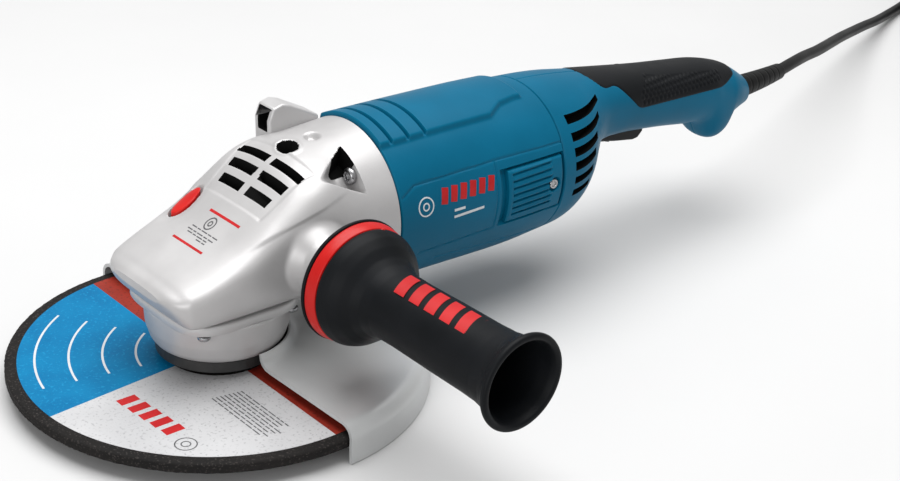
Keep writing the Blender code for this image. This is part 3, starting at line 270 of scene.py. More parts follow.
def station_at(stations, x):
    last = len(stations) - 1
    x = min(max(x, stations[0][0]), stations[-1][0])
    i = max(k for k in range(last) if stations[k][0] <= x + 1e-9)
    rows = (max(i - 1, 0), i, i + 1, min(i + 2, last))
    before, first, second, after = (np.array(stations[k]) for k in rows)
    span = second[0] - first[0]
    t = (x - first[0]) / span
    slope_a = (second - before) / max(second[0] - before[0], 1e-9) * span
    slope_b = (after - first) / max(after[0] - first[0], 1e-9) * span
    values = ((2 * t ** 3 - 3 * t ** 2 + 1) * first + (t ** 3 - 2 * t ** 2 + t) * slope_a
              + (-2 * t ** 3 + 3 * t ** 2) * second + (t ** 3 - t ** 2) * slope_b)
    return values[1:]


def section(stations, x, count, foot_power=None):
    """Points evenly spaced round a superellipse section, and their outward normals."""
    half, bottom, top, power = station_at(stations, x)
    tall = (top - bottom) / 2
    angle = np.linspace(-pi / 2, 1.5 * pi, 1441)
    c, s = np.cos(angle), np.sin(angle)
    low = power if foot_power is None else foot_power(x, power)
    powers = np.where(s < 0, low, power)
    y = half * np.sign(c) * np.abs(c) ** (2 / powers)
    z = tall * np.sign(s) * np.abs(s) ** (2 / powers)
    run = np.concatenate([[0], np.cumsum(np.hypot(np.diff(y), np.diff(z)))])
    wanted = np.linspace(0, run[-1], count, endpoint=False)
    y, z = np.interp(wanted, run, y), np.interp(wanted, run, z)
    powers = np.where(z < 0, low, power)
    ny = np.sign(y) * np.abs(y / half) ** (powers - 1) / half
    nz = np.sign(z) * np.abs(z / tall) ** (powers - 1) / tall
    size = np.hypot(ny, nz) + 1e-12
    return y, z + (top + bottom) / 2, ny / size, nz / size


def shell(name, stations, places, count, relief, reshape=None, foot_power=None):
    """A closed skin through the stations, pushed in or out by relief(x, y, z, ny, nz).

    relief gives the height in mm and which points lie in holes, whose faces get near-black painted
    shade.
    """
    rows, shade_rows = [], []
    for x in places:
        y, z, ny, nz = section(stations, x, count, foot_power)
        high, hole = relief(np.full(count, x), y, z, ny, nz)
        rows.append(np.stack([np.full(count, x), y + ny * high, z + nz * high], axis=1))
        shade_rows.append(hole)
    points = np.array(rows)
    if reshape is not None:
        points = reshape(points)
    ends = []
    for ring, side in ((points[0], -1), (points[-1], 1)):
        middle = ring.mean(axis=0)
        fan = [middle + (ring - middle) * scale for scale in (0.03, 0.3, 0.6, 0.85, 0.96)]
        ends.append(np.array(fan if side < 0 else fan[::-1]))
    shade_points = np.array(shade_rows)
    blank = np.zeros((5, count), dtype=bool)
    points = np.concatenate([ends[0], points, ends[1]])
    return grid(name, points, caps=True, shade_points=np.concatenate([blank, shade_points, blank]))


def spaced(low, high, pitch, marks=()):
    """Places from low to high, no more than pitch apart, that include every mark."""
    fixed = sorted({low, high, *[m for m in marks if low < m < high]})
    places = []
    for a, b in zip(fixed, fixed[1:]):
        parts = max(1, ceil((b - a) / pitch - 1e-6))
        places += [a + (b - a) * k / parts for k in range(parts)]
    return places + [high]


def soften(profile, size, steps=4, closed=True):
    """Round the corners of a profile in mm."""
    made = []
    count = len(profile)
    for k, corner in enumerate(profile):
        corner = np.array(corner, float)
        before, after = np.array(profile[k - 1], float), np.array(profile[(k + 1) % count], float)
        at_end = not closed and k in (0, count - 1)
        if at_end or (corner[0] < 1e-6 and not closed):
            made.append(corner)
            continue
        back, ahead = before - corner, after - corner
        a = corner + back / np.linalg.norm(back) * min(size, np.linalg.norm(back) * 0.45)
        b = corner + ahead / np.linalg.norm(ahead) * min(size, np.linalg.norm(ahead) * 0.45)
        for t in np.linspace(0, 1, steps + 1):
            made.append((1 - t) ** 2 * a + 2 * t * (1 - t) * corner + t * t * b)
    return np.array(made)


AXES = {"X": ((0, 1, 0), (0, 0, 1), (1, 0, 0)), "Y": ((0, 0, 1), (1, 0, 0), (0, 1, 0)),
        "Z": ((1, 0, 0), (0, 1, 0), (0, 0, 1)),
        "-Y": ((1, 0, 0), (0, 0, 1), (0, -1, 0))}


def lathe(name, profile, segments=96, axis="Z", at=(0, 0, 0), size=0.5, steps=4, wobble=None):
    """Turn a profile of (radius, height) in mm; one that starts and ends on the axis is capped."""
    solid = profile[0][0] == 0 and profile[-1][0] == 0
    line = soften(profile, size, steps, closed=not solid)
    first, second, along = (np.array(v, float) for v in AXES[axis])
    angle = np.linspace(0, 2 * pi, segments, endpoint=False)[:, None, None]
    radius = line[None, :, 0, None]
    if wobble is not None:
        radius = radius + wobble(angle, line[None, :, :])
    points = (np.array(at, float) + radius * (np.cos(angle) * first + np.sin(angle) * second)
              + line[None, :, 1, None] * along)
    return grid(name, points, wrap_rows=True, wrap_cols=not solid)


def bevelled(obj, width, segments):
    modifier = obj.modifiers.new("edges", "BEVEL")
    modifier.width = width * MM
    modifier.segments = segments
    modifier.limit_method = "ANGLE"
    modifier.angle_limit = radians(35)
    modifier.use_clamp_overlap = True


def prism(name, outline, low, high, axis="Y"):
    """Extrude an outline in mm along Y (outline in X, Z) or Z (outline in X, Y)."""
    count = len(outline)
    place = (lambda a, b, h: (a, h, b)) if axis == "Y" else (lambda a, b, h: (a, b, h))
    verts = [Vector(place(a, b, h)) * MM for h in (low, high) for a, b in outline]
    faces = [list(range(count)), list(range(count, 2 * count))[::-1]]
    faces += [[k, (k + 1) % count, count + (k + 1) % count, count + k] for k in range(count)]
    return tidy_mesh(new_object(name, verts, faces))


def boolean(target, tool, operation):
    modifier = target.modifiers.new("cut", "BOOLEAN")
    modifier.solver = "EXACT"
    modifier.operation = operation
    modifier.object = tool
    apply_modifiers(target)
    bpy.data.objects.remove(tool, do_unlink=True)


def box_tool(low, high):
    corners = [(low[0], low[1]), (high[0], low[1]), (high[0], high[1]), (low[0], high[1])]
    return prism("tool", corners, low[2], high[2], "Z")


def tube(name, path, radii, sides=32):
    """A round skin in mm along a path, with closed ends."""
    path = np.array(path, float)
    ahead = np.vstack([path[1:], path[-1:]])
    behind = np.vstack([path[:1], path[:-1]])
    tangent = ahead - behind
    tangent /= np.linalg.norm(tangent, axis=1)[:, None]
    across = np.cross(tangent, (0, 0, 1))
    across /= np.linalg.norm(across, axis=1)[:, None]
    upward = np.cross(across, tangent)
    angle = np.linspace(0, 2 * pi, sides, endpoint=False)[None, :, None]
    radii = np.array(radii, float)[:, None, None]
    points = path[:, None] + radii * (np.cos(angle) * across[:, None] + np.sin(angle) * upward[:, None])
    return grid(name, points, caps=True)


def bars(name, strips):
    """Skin bars from (rings, closed) pairs, whose rings have four corners in mm."""
    verts, faces = [], []
    for rings, closed in strips:
        base, count = len(verts), len(rings)
        verts += [tuple(c * MM for c in spot) for ring in rings for spot in ring]
        last = count if closed else count - 1
        for k in range(last):
            a, b = base + 4 * k, base + 4 * ((k + 1) % count)
            faces += [[a + j, a + (j + 1) % 4, b + (j + 1) % 4, b + j] for j in range(4)]
        if not closed:
            faces.append([base, base + 1, base + 2, base + 3])
            faces.append([base + 4 * last + j for j in (3, 2, 1, 0)])
    return tidy_mesh(new_object(name, verts, faces), 1e-9)


def strokes(name, paths, width, place, thick=0.12):
    """Thin raised lines: paths in a surface's own (u, v), laid out in space by place(u, v, lift)."""
    strips = []
    for path in paths:
        closed = path[0] == path[-1]
        line = [np.array(p, float) for p in (path[:-1] if closed else path)]
        count, rings = len(line), []
        for k, here in enumerate(line):
            before = line[k - 1] if closed or k else 2 * here - line[k + 1]
            after = line[(k + 1) % count] if closed or k < count - 1 else 2 * here - line[k - 1]
            a = (here - before) / np.linalg.norm(here - before)
            b = (after - here) / np.linalg.norm(after - here)
            bend = a + b
            bend /= max(np.linalg.norm(bend), 1e-6)
            out = np.array((-bend[1], bend[0])) * width / 2 / max(0.5, float(bend @ a))
            rings.append([place(*(here + side * out), lift)
                          for side, lift in ((1, 0), (-1, 0), (-1, thick), (1, thick))])
        strips.append((rings, closed))
    return bars(name, strips)


def fine_path(path, pitch=1.0):
    """The same path with points no further apart than pitch."""
    made = [path[0]]
    for a, b in zip(path, path[1:]):
        parts = max(1, ceil(dist(a, b) / pitch))
        made += [tuple(a[i] + (b[i] - a[i]) * k / parts for i in range(2)) for k in range(1, parts + 1)]
    return made


def ring_path(u, v, radius, count=40):
    points = []
    for k in range(count):
        a = 2 * pi * k / count
        points.append((u + radius * cos(a), v + radius * sin(a)))
    return points + [points[0]]


def swell(share, power):
    """How far out a superellipse is, from 1 to 0, at a share of its half width."""
    return max(0.0, 1 - min(1, abs(share)) ** power) ** (1 / power)


def on_top(stations):
    """Places (x, y) on the upper side of a lofted skin."""
    def place(x, y, lift):
        half, bottom, top, power = station_at(stations, x)
        return x, y, (top + bottom) / 2 + (top - bottom) / 2 * swell(y / half, power) + lift
    return place


def on_side(stations, side):
    """Places (x, z) on one flank of a lofted skin."""
    def place(x, z, lift):
        half, bottom, top, power = station_at(stations, x)
        share = (z - (top + bottom) / 2) / ((top - bottom) / 2)
        return x, side * (half * swell(share, power) + lift), z
    return place


# Camera and cord

def camera():
    """The photograph's viewpoint: azimuth and elevation of the view, then a small roll."""
    turn, lift, roll = (radians(v) for v in CAMERA_ANGLES)
    right = Vector((cos(turn), sin(turn), 0))
    back = Vector((sin(turn) * cos(lift), -cos(turn) * cos(lift), sin(lift)))
    upward = back.cross(right)
    across = right * cos(roll) + upward * sin(roll)
    above = upward * cos(roll) - right * sin(roll)
    data = bpy.data.cameras.new("camera")
    data.lens = 64
    data.sensor_width = 36
    data.clip_start = 0.01
    data.clip_end = 50
    obj = add_object("camera", data)
    turned = Matrix((across, above, back)).transposed().to_4x4()
    obj.matrix_world = Matrix.Translation(CAMERA_SPOT) @ turned
    bpy.context.scene.camera = obj


def smooth_route(points, pitch):
    """Points about pitch apart on the Catmull-Rom curve through the route, in mm."""
    route = [np.array(p, float) for p in points]
    ends = [route[0] * 2 - route[1]] + route + [route[-1] * 2 - route[-2]]
    fine = []
    for k in range(1, len(ends) - 2):
        p0, p1, p2, p3 = ends[k - 1:k + 3]
        for t in np.arange(20) / 20:
            fine.append(0.5 * (2 * p1 + (p2 - p0) * t + (2 * p0 - 5 * p1 + 4 * p2 - p3) * t ** 2
                               + (3 * p1 - p0 - 3 * p2 + p3) * t ** 3))
    fine = np.array(fine + [route[-1]])
    run = np.concatenate([[0], np.cumsum(np.linalg.norm(np.diff(fine, axis=0), axis=1))])
    wanted = np.linspace(0, run[-1], max(2, round(run[-1] / pitch)) + 1)
    return np.stack([np.interp(wanted, run, fine[:, i]) for i in range(3)], axis=1)


COIL_OUTER = 59.6
COIL_PITCH = 8.9
LAYER_TURNS = 2.75
LAYERS = 4
POINTS_PER_TURN = 28
PLUG_OFFSET = 70.2
PLUG_LEAD = 20.0
COIL_REACH = 33.3


def coil_frame():
    """Centre of the coil and the directions in which the cord reaches it, as in the CAD."""
    route = smooth_route(CORD_ROUTE, 22)
    heading = route[-1] - route[-2]
    heading[2] = 0
    heading /= np.linalg.norm(heading)
    side = np.array((heading[1], -heading[0], 0))
    centre = route[-1] + heading * COIL_REACH + side * COIL_OUTER
    centre[2] = FLOOR_Z
    return route, centre, heading, side


def cord_line():
    """The whole cord: its run to the floor, four flat layers of turns, and the lead to the plug."""
    route, centre, heading, side = coil_frame()
    line = [*route]

    def add_point(radius, angle, level):
        line.append(centre + np.array((0, 0, level - FLOOR_Z))
                    - side * radius * cos(angle) + heading * radius * sin(angle))

    for k in range(int(LAYERS * LAYER_TURNS * POINTS_PER_TURN) + 1):
        turns = k / POINTS_PER_TURN
        layer = min(LAYERS - 1, int(turns / LAYER_TURNS + 1e-9))
        part = turns - layer * LAYER_TURNS
        inward = part if layer % 2 == 0 else LAYER_TURNS - part
        radius = COIL_OUTER - COIL_PITCH * inward
        level = FLOOR_Z + CORD_RADIUS
        for edge in range(1, LAYERS):
            level += COIL_PITCH * float(step(turns - edge * LAYER_TURNS, -0.13, 0.13))
        add_point(radius, 2 * pi * turns, level)
    top = FLOOR_Z + CORD_RADIUS + COIL_PITCH * (LAYERS - 1)
    for k in range(1, 15):
        share = k / 14
        angle = pi * share
        radius = COIL_OUTER + (PLUG_OFFSET - COIL_OUTER) * float(step(share, 0.0, 0.7))
        level = top + (14.3 - top) * float(step(share, 0.25, 1.05))
        add_point(radius, angle, level)
    line.append(line[-1] - heading * PLUG_LEAD / 2)
    line.append(line[-1] - heading * (PLUG_LEAD / 2 - 1))
    return np.array(line)


def plug():
    """Moulded two-pin plug lying beside the coil."""
    _, centre, heading, side = coil_frame()
    start = centre + side * PLUG_OFFSET - heading * PLUG_LEAD + np.array((0, 0, 15.6))
    profile = [(0, 0), (4.8, 0), (5.2, 1.5)]
    for k in range(5):
        profile += [(radius + 0.1 * k, height + 2.9 * k)
                    for radius, height in ((5.4, 2), (5.4, 3.4), (4.7, 3.7), (4.7, 4.6))]
    profile += [(6.2, 17), (10, 22), (15.2, 27), (15.9, 34), (15.6, 40), (15.9, 46), (14.5, 52), (0, 52)]
    body = lathe("plug_body", profile, 64, "X", size=1.2)
    body.data.transform(Matrix.Diagonal((1, 1.15, 0.93, 1)))
    pins = [lathe(f"plug_pin_{k}", [(0, 50), (2.4, 50), (2.4, 70), (1.6, 71), (0, 71)], 24, "X",
                  (0, shift, 0), 0.4) for k, shift in ((1, -9.5), (2, 9.5))]
    turn = atan2(-heading[1], -heading[0])
    for obj in (body, *pins):
        obj.data.transform(Matrix.Translation(Vector(start) * MM) @ Matrix.Rotation(turn, 4, "Z"))
    piece(body, "rubber", nodes=("plug",))
    for obj in pins:
        piece(obj, "steel")
    return [body, *pins]


def cord():
    line = cord_line()
    curve = bpy.data.curves.new("cord_line", "CURVE")
    curve.dimensions = "3D"
    spline = curve.splines.new("POLY")
    spline.points.add(len(line) - 1)
    for point, spot in zip(spline.points, line):
        point.co = (*(spot * MM), 1)
    spline.use_smooth = True
    curve.bevel_depth = CORD_RADIUS * MM
    curve.bevel_resolution = 6
    curve.use_fill_caps = True
    obj = add_object("power_cord", curve)
    piece(obj, "rubber", nodes=("cord", "cord_coil"))
    ends = plug()


# Gear head

VENT_ROWS = [34.6, 26.1, 17.6]
POCKET_WALL = 67.7
BUTTON_Y = 30.6


def pocket(x, y, z, side, above):
    """Scoop round a housing screw: a ramp that widens and deepens to an upright wall."""
    t = (y * side - 29) * -0.73 + ((z - MOTOR_AXIS) * above - 31) * 0.683
    grow = np.clip((x - 42) / 25.7, 0, 1)
    wide = step(t, -1 - 13 * grow, 1.5 - 13 * grow) * (1 - step(t, -2.5 + 17 * grow, 17 * grow))
    ramp = step(x, 42, 60) * (x < POCKET_WALL + 0.05)
    near = (y * side > 8) & ((z - MOTOR_AXIS) * above > 4)
    scoop = ramp * wide
    # the second mask marks the far side of the upper scoop for near-black painted shade
    return np.where(near, -11 * scoop, 0), near & (above > 0) & (scoop > 0.02) & (t > 4.2) & (x > 57)


def head_relief(x, y, z, ny, nz):
    high = np.zeros_like(x)
    top = nz > 0.25
    # vents, the oval hole and the far side of the upper screw pocket are marked for near-black painted
    # shade
    hole = np.zeros(x.shape, dtype=bool)
    for k, row in enumerate(VENT_ROWS):
        slot = np.clip((2.4 - np.abs(x - row)) / 0.35, 0, 1)
        slot = slot * inside(np.abs(y), 2.6, 28.2 - 3 * k, 0.7)
        high = np.minimum(high, np.where(top, -9.0 * slot, 0))
        hole |= top & (slot > 0.04)
    panel = inside(x, 8.8, 43, 1.2) * (1 - step(np.abs(y), 25.5 + 0.09 * (x - 9), 27.5 + 0.09 * (x - 9)))
    high = high - np.where(top, 0.7 * panel, 0)
    oval = np.hypot((x - 46) / 4.6, y / 6.6)
    rim = np.exp(-((oval - 1.32) / 0.17) ** 2) * 0.55
    high = high + np.where(top, rim - 7.0 * (1 - step(oval, 0.86, 1.08)), 0)
    hole |= top & (oval < 1.07)
    dimple = np.hypot((x - 61.5) / 5.0, (y + 1.0) / 5.8)
    high = high - np.where(top, 3.2 * (1 - step(dimple, 0.35, 1.0)), 0)
    dish = np.hypot((x + 0.5) / 17.5, (y - 31) / 11.5)
    high = high - np.where(top, 0.9 * (1 - step(dish, 0.62, 1.0)), 0)
    for side, above in ((-1, 1), (-1, -1), (1, -1)):
        depth, pocket_shade = pocket(x, y, z, side, above)
        high = high + depth
        hole |= pocket_shade
    line = 91.2 + 0.42 * (x - 2) - 0.0018 * (x - 2) ** 2
    fade = inside(x, -30, 60, 14)
    high = high + 0.75 * fade * step(z, line - 0.8, line + 0.8) * step(np.abs(ny), 0.12, 0.5)
    high = high - 0.9 * step(x, 87.0, 87.8)
    return high, hole


def head_foot(x, power):
    """The lower edge of the head is square where it stands on its cover."""
    return float(np.interp(x, [-46, -38, 34, 52], [power, 7.0, 7.0, power]))


def head_shape(points):
    """Raise the side-handle boss and the plugged boss, and sink the lock button's shaft."""
    x, y, z = points[..., 0], points[..., 1], points[..., 2]
    radius = np.hypot(x - SIDE_X, z - SIDE_Z)
    cone = np.interp(radius, [0, 14, 14.4, 16, 22, 27, 30], [60.2, 60.2, 59.6, 52, 42.5, 36, -30])
    bend = 3.0
    size = np.abs(y)
    top = np.maximum(size, cone)
    blend = np.maximum(0, bend - np.abs(size - cone)) ** 2 / (4 * bend)
    reach = np.where((y < 0) & (radius < 40), top + blend, size)
    left = np.interp(radius, [0, 7.3, 7.7, 12.8, 13.6, 14.2], [34, 34, 48.5, 48.5, 47.9, 30])
    boss = np.where(radius < 14.2, np.maximum(reach, left), reach)
    reach = np.where(y > 0, np.where(radius < 7.5, left, boss), reach)
    points[..., 1] = np.sign(y) * reach
    button = np.hypot(x / 10.2, (y - BUTTON_Y) / 6.3)
    points[..., 2] = z - np.where(z > MOTOR_AXIS, 9.9 * (1 - step(button, 0.94, 1.06)), 0)
    return points


def gear_head():
    marks = [r + d for r in VENT_ROWS for d in (-2.4, -2.05, 2.05, 2.4)]
    marks += [POCKET_WALL, POCKET_WALL + 0.4, 87.0]
    body = shell("gear_head", HEAD_STATIONS, spaced(-50.5, 87.8, 0.66, marks), 400, head_relief,
                 head_shape, head_foot)
    piece(body, "cast_alloy", nodes=("gear_housing",), extra=("hole_shade",))
    outline = [(52.2, 107.3), (51.4, 128.1), (54.1, 135.5), (60.5, 137.2), (66, 135.6), (85.3, 125.9),
               (85.7, 107.6)]
    lug = prism("head_lug", outline, 24.4, 39.6)
    boolean(lug, box_tool((49, 28.0, 121.6), (61, 36.4, 133.6)), "DIFFERENCE")
    # faces in the lug's slot get the second material, near-black painted shade
    for face in lug.data.polygons:
        middle = face.center / MM
        inner = 53.6 < middle.x < 61.5 and 27.8 < middle.y < 36.6 and 121.4 < middle.z < 133.8
        face.material_index = 1 if inner else 0
    bevelled(lug, 1.3, 4)
    piece(lug, "cast_alloy", extra=("hole_shade",))
    top = on_top(HEAD_STATIONS)
    lines = [fine_path([(1.4, 8.4), (1.5, -19.0)]), fine_path([(-19.2, 13.1), (-19.0, -14.4)])]
    piece(strokes("head_red_lines", lines, 1.3, top), "ink_red", slot="red_plastic")
    words = []
    for k, (x, left, right) in enumerate(((-9.2, 9.4, -15), (-11.4, 10.4, -14.5), (-13.0, 8.5, -14.8),
                                          (-14.6, -2, -14.6))):
        y = left
        for size in (4.2, 2.6, 5.0, 3.1, 4.4, 2.2):
            if y - size > right:
                words.append(fine_path([(x, y), (x, y - size)]))
            y -= size + 1.0
    piece(strokes("head_fine_print", words, 0.55, top), "ink_grey", slot="black_plastic")
    emblem = [ring_path(-4.3, -0.2, 3.4, 32), ring_path(-4.3, -0.2, 1.3, 20)]
    piece(strokes("head_emblem", emblem, 0.7, top), "ink_grey", slot="black_plastic")


def lock_button():
    """A low oval cap whose face follows the slope of the casting round it."""
    turn = np.linspace(0, 2 * pi, 64, endpoint=False)
    outer = [(9.0 * cos(a), 5.3 * sin(a)) for a in turn]
    top = on_top(HEAD_STATIONS)
    rings = []
    for scale, proud in ((0.97, -3.9), (1.0, -3.5), (1.0, -0.9), (0.985, -0.45), (0.94, -0.1),
                         (0.8, 0.2), (0.55, 0.4), (0.25, 0.5), (0.02, 0.5)):
        rings.append([top(x * scale, y * scale + BUTTON_Y, proud) for x, y in outer])
    cap = grid("lock_button_cap", np.array(rings), caps=True)
    piece(cap, "red_plastic", "lock_button_group", ("spindle_lock_button",))


def screw(name, head_radius, head, shank_radius, shank, axis, at, nodes, look="steel"):
    """Pan-head screw with a six-point socket; its seat is at the origin of its axis."""
    profile = [(0, -head * 0.45), (head_radius * 0.48, -head * 0.45), (head_radius * 0.52, -head * 0.97),
               (head_radius * 0.80, -head), (head_radius, -head * 0.6), (head_radius, 0),
               (shank_radius, 0), (shank_radius, shank), (0, shank)]

    def star(angle, line):
        socket = (line[..., :1] < head_radius * 0.6) & (line[..., 1:] < -head * 0.3)
        return np.where(socket, 0.09 * line[..., :1] * np.cos(6 * angle), 0)

    body = lathe(name, profile, 48, axis, at, 0.35, 3, wobble=star)
    piece(body, look, nodes=nodes, slot="steel")


def bearing_cover():
    profile = [(20.3, 30), (14.4, 30), (14.4, 17.5), (31, 17.5), (31, 24.2), (35.4, 24.2), (37.4, 27),
               (39.6, 34), (40.6, 47), (32.6, 47), (32.6, 56.5), (24, 56.5), (24, 45), (20.3, 45)]
    piece(lathe("cover_cup", profile, 128, size=1.4, steps=5), "cast_alloy", nodes=("bearing_cover",))
    rings = []
    for scale, height in ((0.75, 46.1), (0.975, 46.1), (0.992, 46.35), (1.0, 46.9), (1.0, 51.2),
                          (0.992, 51.7), (0.975, 52.0), (0.7, 52.0)):
        angle = np.linspace(0, 2 * pi, 200, endpoint=False)
        c, s = np.cos(angle), np.sin(angle)
        x = -2.5 + 38.2 * np.sign(c) * np.abs(c) ** 0.5
        y = 39.2 * np.sign(s) * np.abs(s) ** 0.5
        rings.append(np.stack([x * scale + (scale - 1) * 2.5, y * scale, np.full_like(x, height)],
                              axis=1))
    piece(grid("cover_plate", np.array(rings), wrap_rows=True), "cast_alloy")
    marks = [[(radians(d) - 0.025, 48.2), (radians(d) + 0.02, 49.4)] for d in (222, 229, 236)]
    wall = lambda a, z, lift: ((40.1 + lift) * cos(a), (40.1 + lift) * sin(a), z)
    piece(strokes("cover_marks", marks, 0.02, wall), "ink_grey",
          slot="black_plastic")
    for k, (x, y) in enumerate([(x, y) for x in (-30, 26) for y in (-32.5, 32.5)]):
        screw(f"cover_screw_{k + 1}", 3.6, 2.6, 2.0, 17, "Z", (x, y, 45.9),
              (f"bearing_cover_screw_{k + 1}",))
    places = [(y, MOTOR_AXIS + z) for y in (-29, 29) for z in (-31, 31)]
    for k, (y, z) in enumerate(places):
        screw(f"head_screw_{k + 1}", 4.8, 3.2, 2.5, 28.5, "X", (POCKET_WALL, y, z),
              (f"housing_screw_{k + 1}",))


# Wheel end

def disc():
    rng = np.random.default_rng(11)
    rough = rng.uniform(-0.22, 0.10, (400, 1, 1))
    wobble = lambda angle, line: np.where(line[..., :1] > 112, rough, 0)
    profile = [(11.1, 7), (40, 7), (80, 7), (106, 7), (114, 7.1), (115, 7.7), (115, 9.2), (114.8, 10.6),
               (115, 12.2), (114.2, 12.9), (109, 13), (80, 13), (40, 13), (11.1, 13)]
    piece(lathe("wheel", profile, 400, size=0.35, steps=2, wobble=wobble), "abrasive", "spindle_group",
          ("grinding_disc",))
    bm = bmesh.new()
    rings = []
    for r in (29.5, 108.4):
        rings.append([bm.verts.new((r * MM * cos(a), r * MM * sin(a), 13.06 * MM))
                      for a in np.linspace(0, 2 * pi, 240, endpoint=False)])
    for k in range(240):
        j = (k + 1) % 240
        bm.faces.new((rings[0][k], rings[1][k], rings[1][j], rings[0][j]))
    edge = Vector((-0.086, 1, 0)).normalized()
    blue_end, middle, red_end = -17, -0.8, 9.2
    cuts = [((0, 0, 0), edge)] + [((x * MM, 0, 0), (1, 0, 0)) for x in (blue_end, middle, red_end)]
    for spot, normal in cuts:
        bmesh.ops.bisect_plane(bm, geom=bm.verts[:] + bm.edges[:] + bm.faces[:], plane_co=spot,
                               plane_no=normal, dist=1e-7)
    # faces past red_end, beneath the guard, take the near-black fourth material
    for face in bm.faces:
        x, y, _ = face.calc_center_median() / MM
        if y * edge.y + x * edge.x > 0:
            face.material_index = 1 if x < blue_end else 2 if x < middle else 3
        else:
            face.material_index = 0 if x < middle else 2 if x < red_end else 3
    mesh = bpy.data.meshes.new("wheel_label")
    bm.to_mesh(mesh)
    bm.free()
    label = add_object("wheel_label", mesh)
    thick = label.modifiers.new("paper", "SOLIDIFY")
    thick.thickness = 0.12 * MM
    thick.offset = 1
    apply_modifiers(label)
    piece(label, "label_silver", "spindle_group", slot="abrasive",
          extra=("label_blue", "label_red", "label_dark_field"))
    arcs = [[(radius * cos(a), radius * sin(a)) for a in np.radians(np.linspace(122, 170, 33))]
            for radius in (45, 63, 81, 99)]
    blocks = []
    for k in range(5):
        y = -15.2 - 9.4 * k
        blocks.append([(-73.5 + 0.9 * k, y - 3.2), (-62.5 + 0.9 * k, y - 3.2)])
    rings = [ring_path(-66.5, -71.3, 5.6, 40), ring_path(-66.5, -71.3, 2.4, 24)]
    dashes = []
    for k in range(8):
        x = -32 + 2.35 * k
        y = -42.5 - 0.4 * k
        while y > -86:
            size = rng.uniform(2.0, 6.5)
            dashes.append([(x, y), (x, y - size)])
            y -= size + 0.9
    flat = lambda x, y, lift: (x, y, 13.17 + lift)
    for name, paths, width, look in (
            ("wheel_line_art", arcs, 1.25, "ink_white"), ("wheel_red_blocks", blocks, 6.0, "ink_red"),
            ("wheel_round_mark", rings, 0.7, "ink_grey"),
            ("wheel_fine_print", dashes, 0.75, "ink_grey")):
        piece(strokes(name, paths, width, flat, 0.05), look, "spindle_group", slot="abrasive")


def hub():
    flange = [(7.4, 8), (10.6, 8), (10.6, 13.3), (28, 13.3), (28.6, 14.2), (28.6, 16), (26, 17.2),
              (7.4, 17.2)]
    piece(lathe("flange", flange, 96, size=0.5), "black_steel", "spindle_group", ("inner_flange",))
    nut = [(7.3, -1), (17, -1), (21.5, 1.5), (21.5, 6.7), (7.3, 6.7)]
    body = lathe("nut", nut, 96, size=0.5)
    for k in range(4):
        a = pi / 2 * k + pi / 4
        spot = (13.5 * cos(a), 13.5 * sin(a), 0)
        pin_hole = lathe("tool", [(0, -2), (2.4, -2), (2.4, 3), (0, 3)], 24, at=spot, size=0.01, steps=1)
        boolean(body, pin_hole, "DIFFERENCE")
    piece(body, "black_steel", "spindle_group", ("clamping_nut",))


def guard():
    """Pressed hood: a collar beside the cup, a flat top, a rounded shoulder and a plain skirt."""
    upper = [(38.5, 26.8), (39.1, 27.3), (39.9, 26.9), (40.7, 25.0), (42.2, 22.9), (44.6, 21.5)]
    upper += [(radius, 21) for radius in (48, 60, 75, 90, 100, 107)]
    for k in range(9):
        a = pi / 2 * (1 - k / 8)
        upper.append((110 + 8.4 * cos(a), 12.6 + 8.4 * sin(a)))
    upper += [(118.4, 8), (118.4, 3), (118.4, 0), (118.5, -0.8), (118.1, -1.3), (117.3, -1.25),
              (116.7, -0.7)]
    lower = [(116.5, 3), (116.4, 8)]
    for k in range(9):
        a = pi / 2 * k / 8
        lower.append((110 + 6.4 * cos(a), 12.6 + 6.4 * sin(a)))
    lower += [(radius, 19) for radius in (107, 100, 90, 75, 60, 48.5)]
    lower += [(44, 19.3), (41, 20.9), (39.2, 23.3)]
    line = np.array(upper + lower)
    first, last, screw_window = -89, 92, 55
    rows = []
    for angle in np.radians(np.linspace(first, last, 220)):
        near = degrees(abs(angle - radians(screw_window)))
        clear = float(1 - step(near, 12.5, 17))
        radius, height = line[:, 0].copy(), line[:, 1].copy()
        inner = np.clip((62 - radius) / 23.5, 0, 1)
        radius = radius + 10.8 * clear * inner
        collar = line[:, 0] < 50
        height = np.where(collar, 20 + (height - 20) * (1 - clear * 0.95), height)
        sheet = np.where(np.arange(len(line)) < len(upper), 0.9, -0.9)
        height = np.where(collar & (clear > 0), height + clear * sheet, height)
        rows.append(np.stack([radius * cos(angle), radius * sin(angle), height], axis=1))
    hood = grid("hood", np.array(rows), caps=True)
    piece(hood, "sheet_steel", "guard_group", ("guard_hood",))
    band = NODES["guard_clamp_band"]
    band.data.materials.clear()
    band.data.materials.append(LOOKS["black_steel"])


# Motor

COVER_X = (168.2, 212.2)
COVER_Z = (64.4, 96.4)
LOUVRES = [72.0 + 4.1 * k for k in range(7)]
GROOVES = [96.2, 108.3, 120.6]


def groove(distance, depth, half):
    return -depth * (1 - step(np.abs(distance), half * 0.45, half))


def segment_distance(x, z, a, b):
    """Distance from points to the line between a and b."""
    a, b = np.array(a, float), np.array(b, float)
    d = b - a
    t = np.clip(((x - a[0]) * d[0] + (z - a[1]) * d[1]) / (d @ d), 0, 1)
    return np.hypot(x - a[0] - t * d[0], z - a[1] - t * d[1])


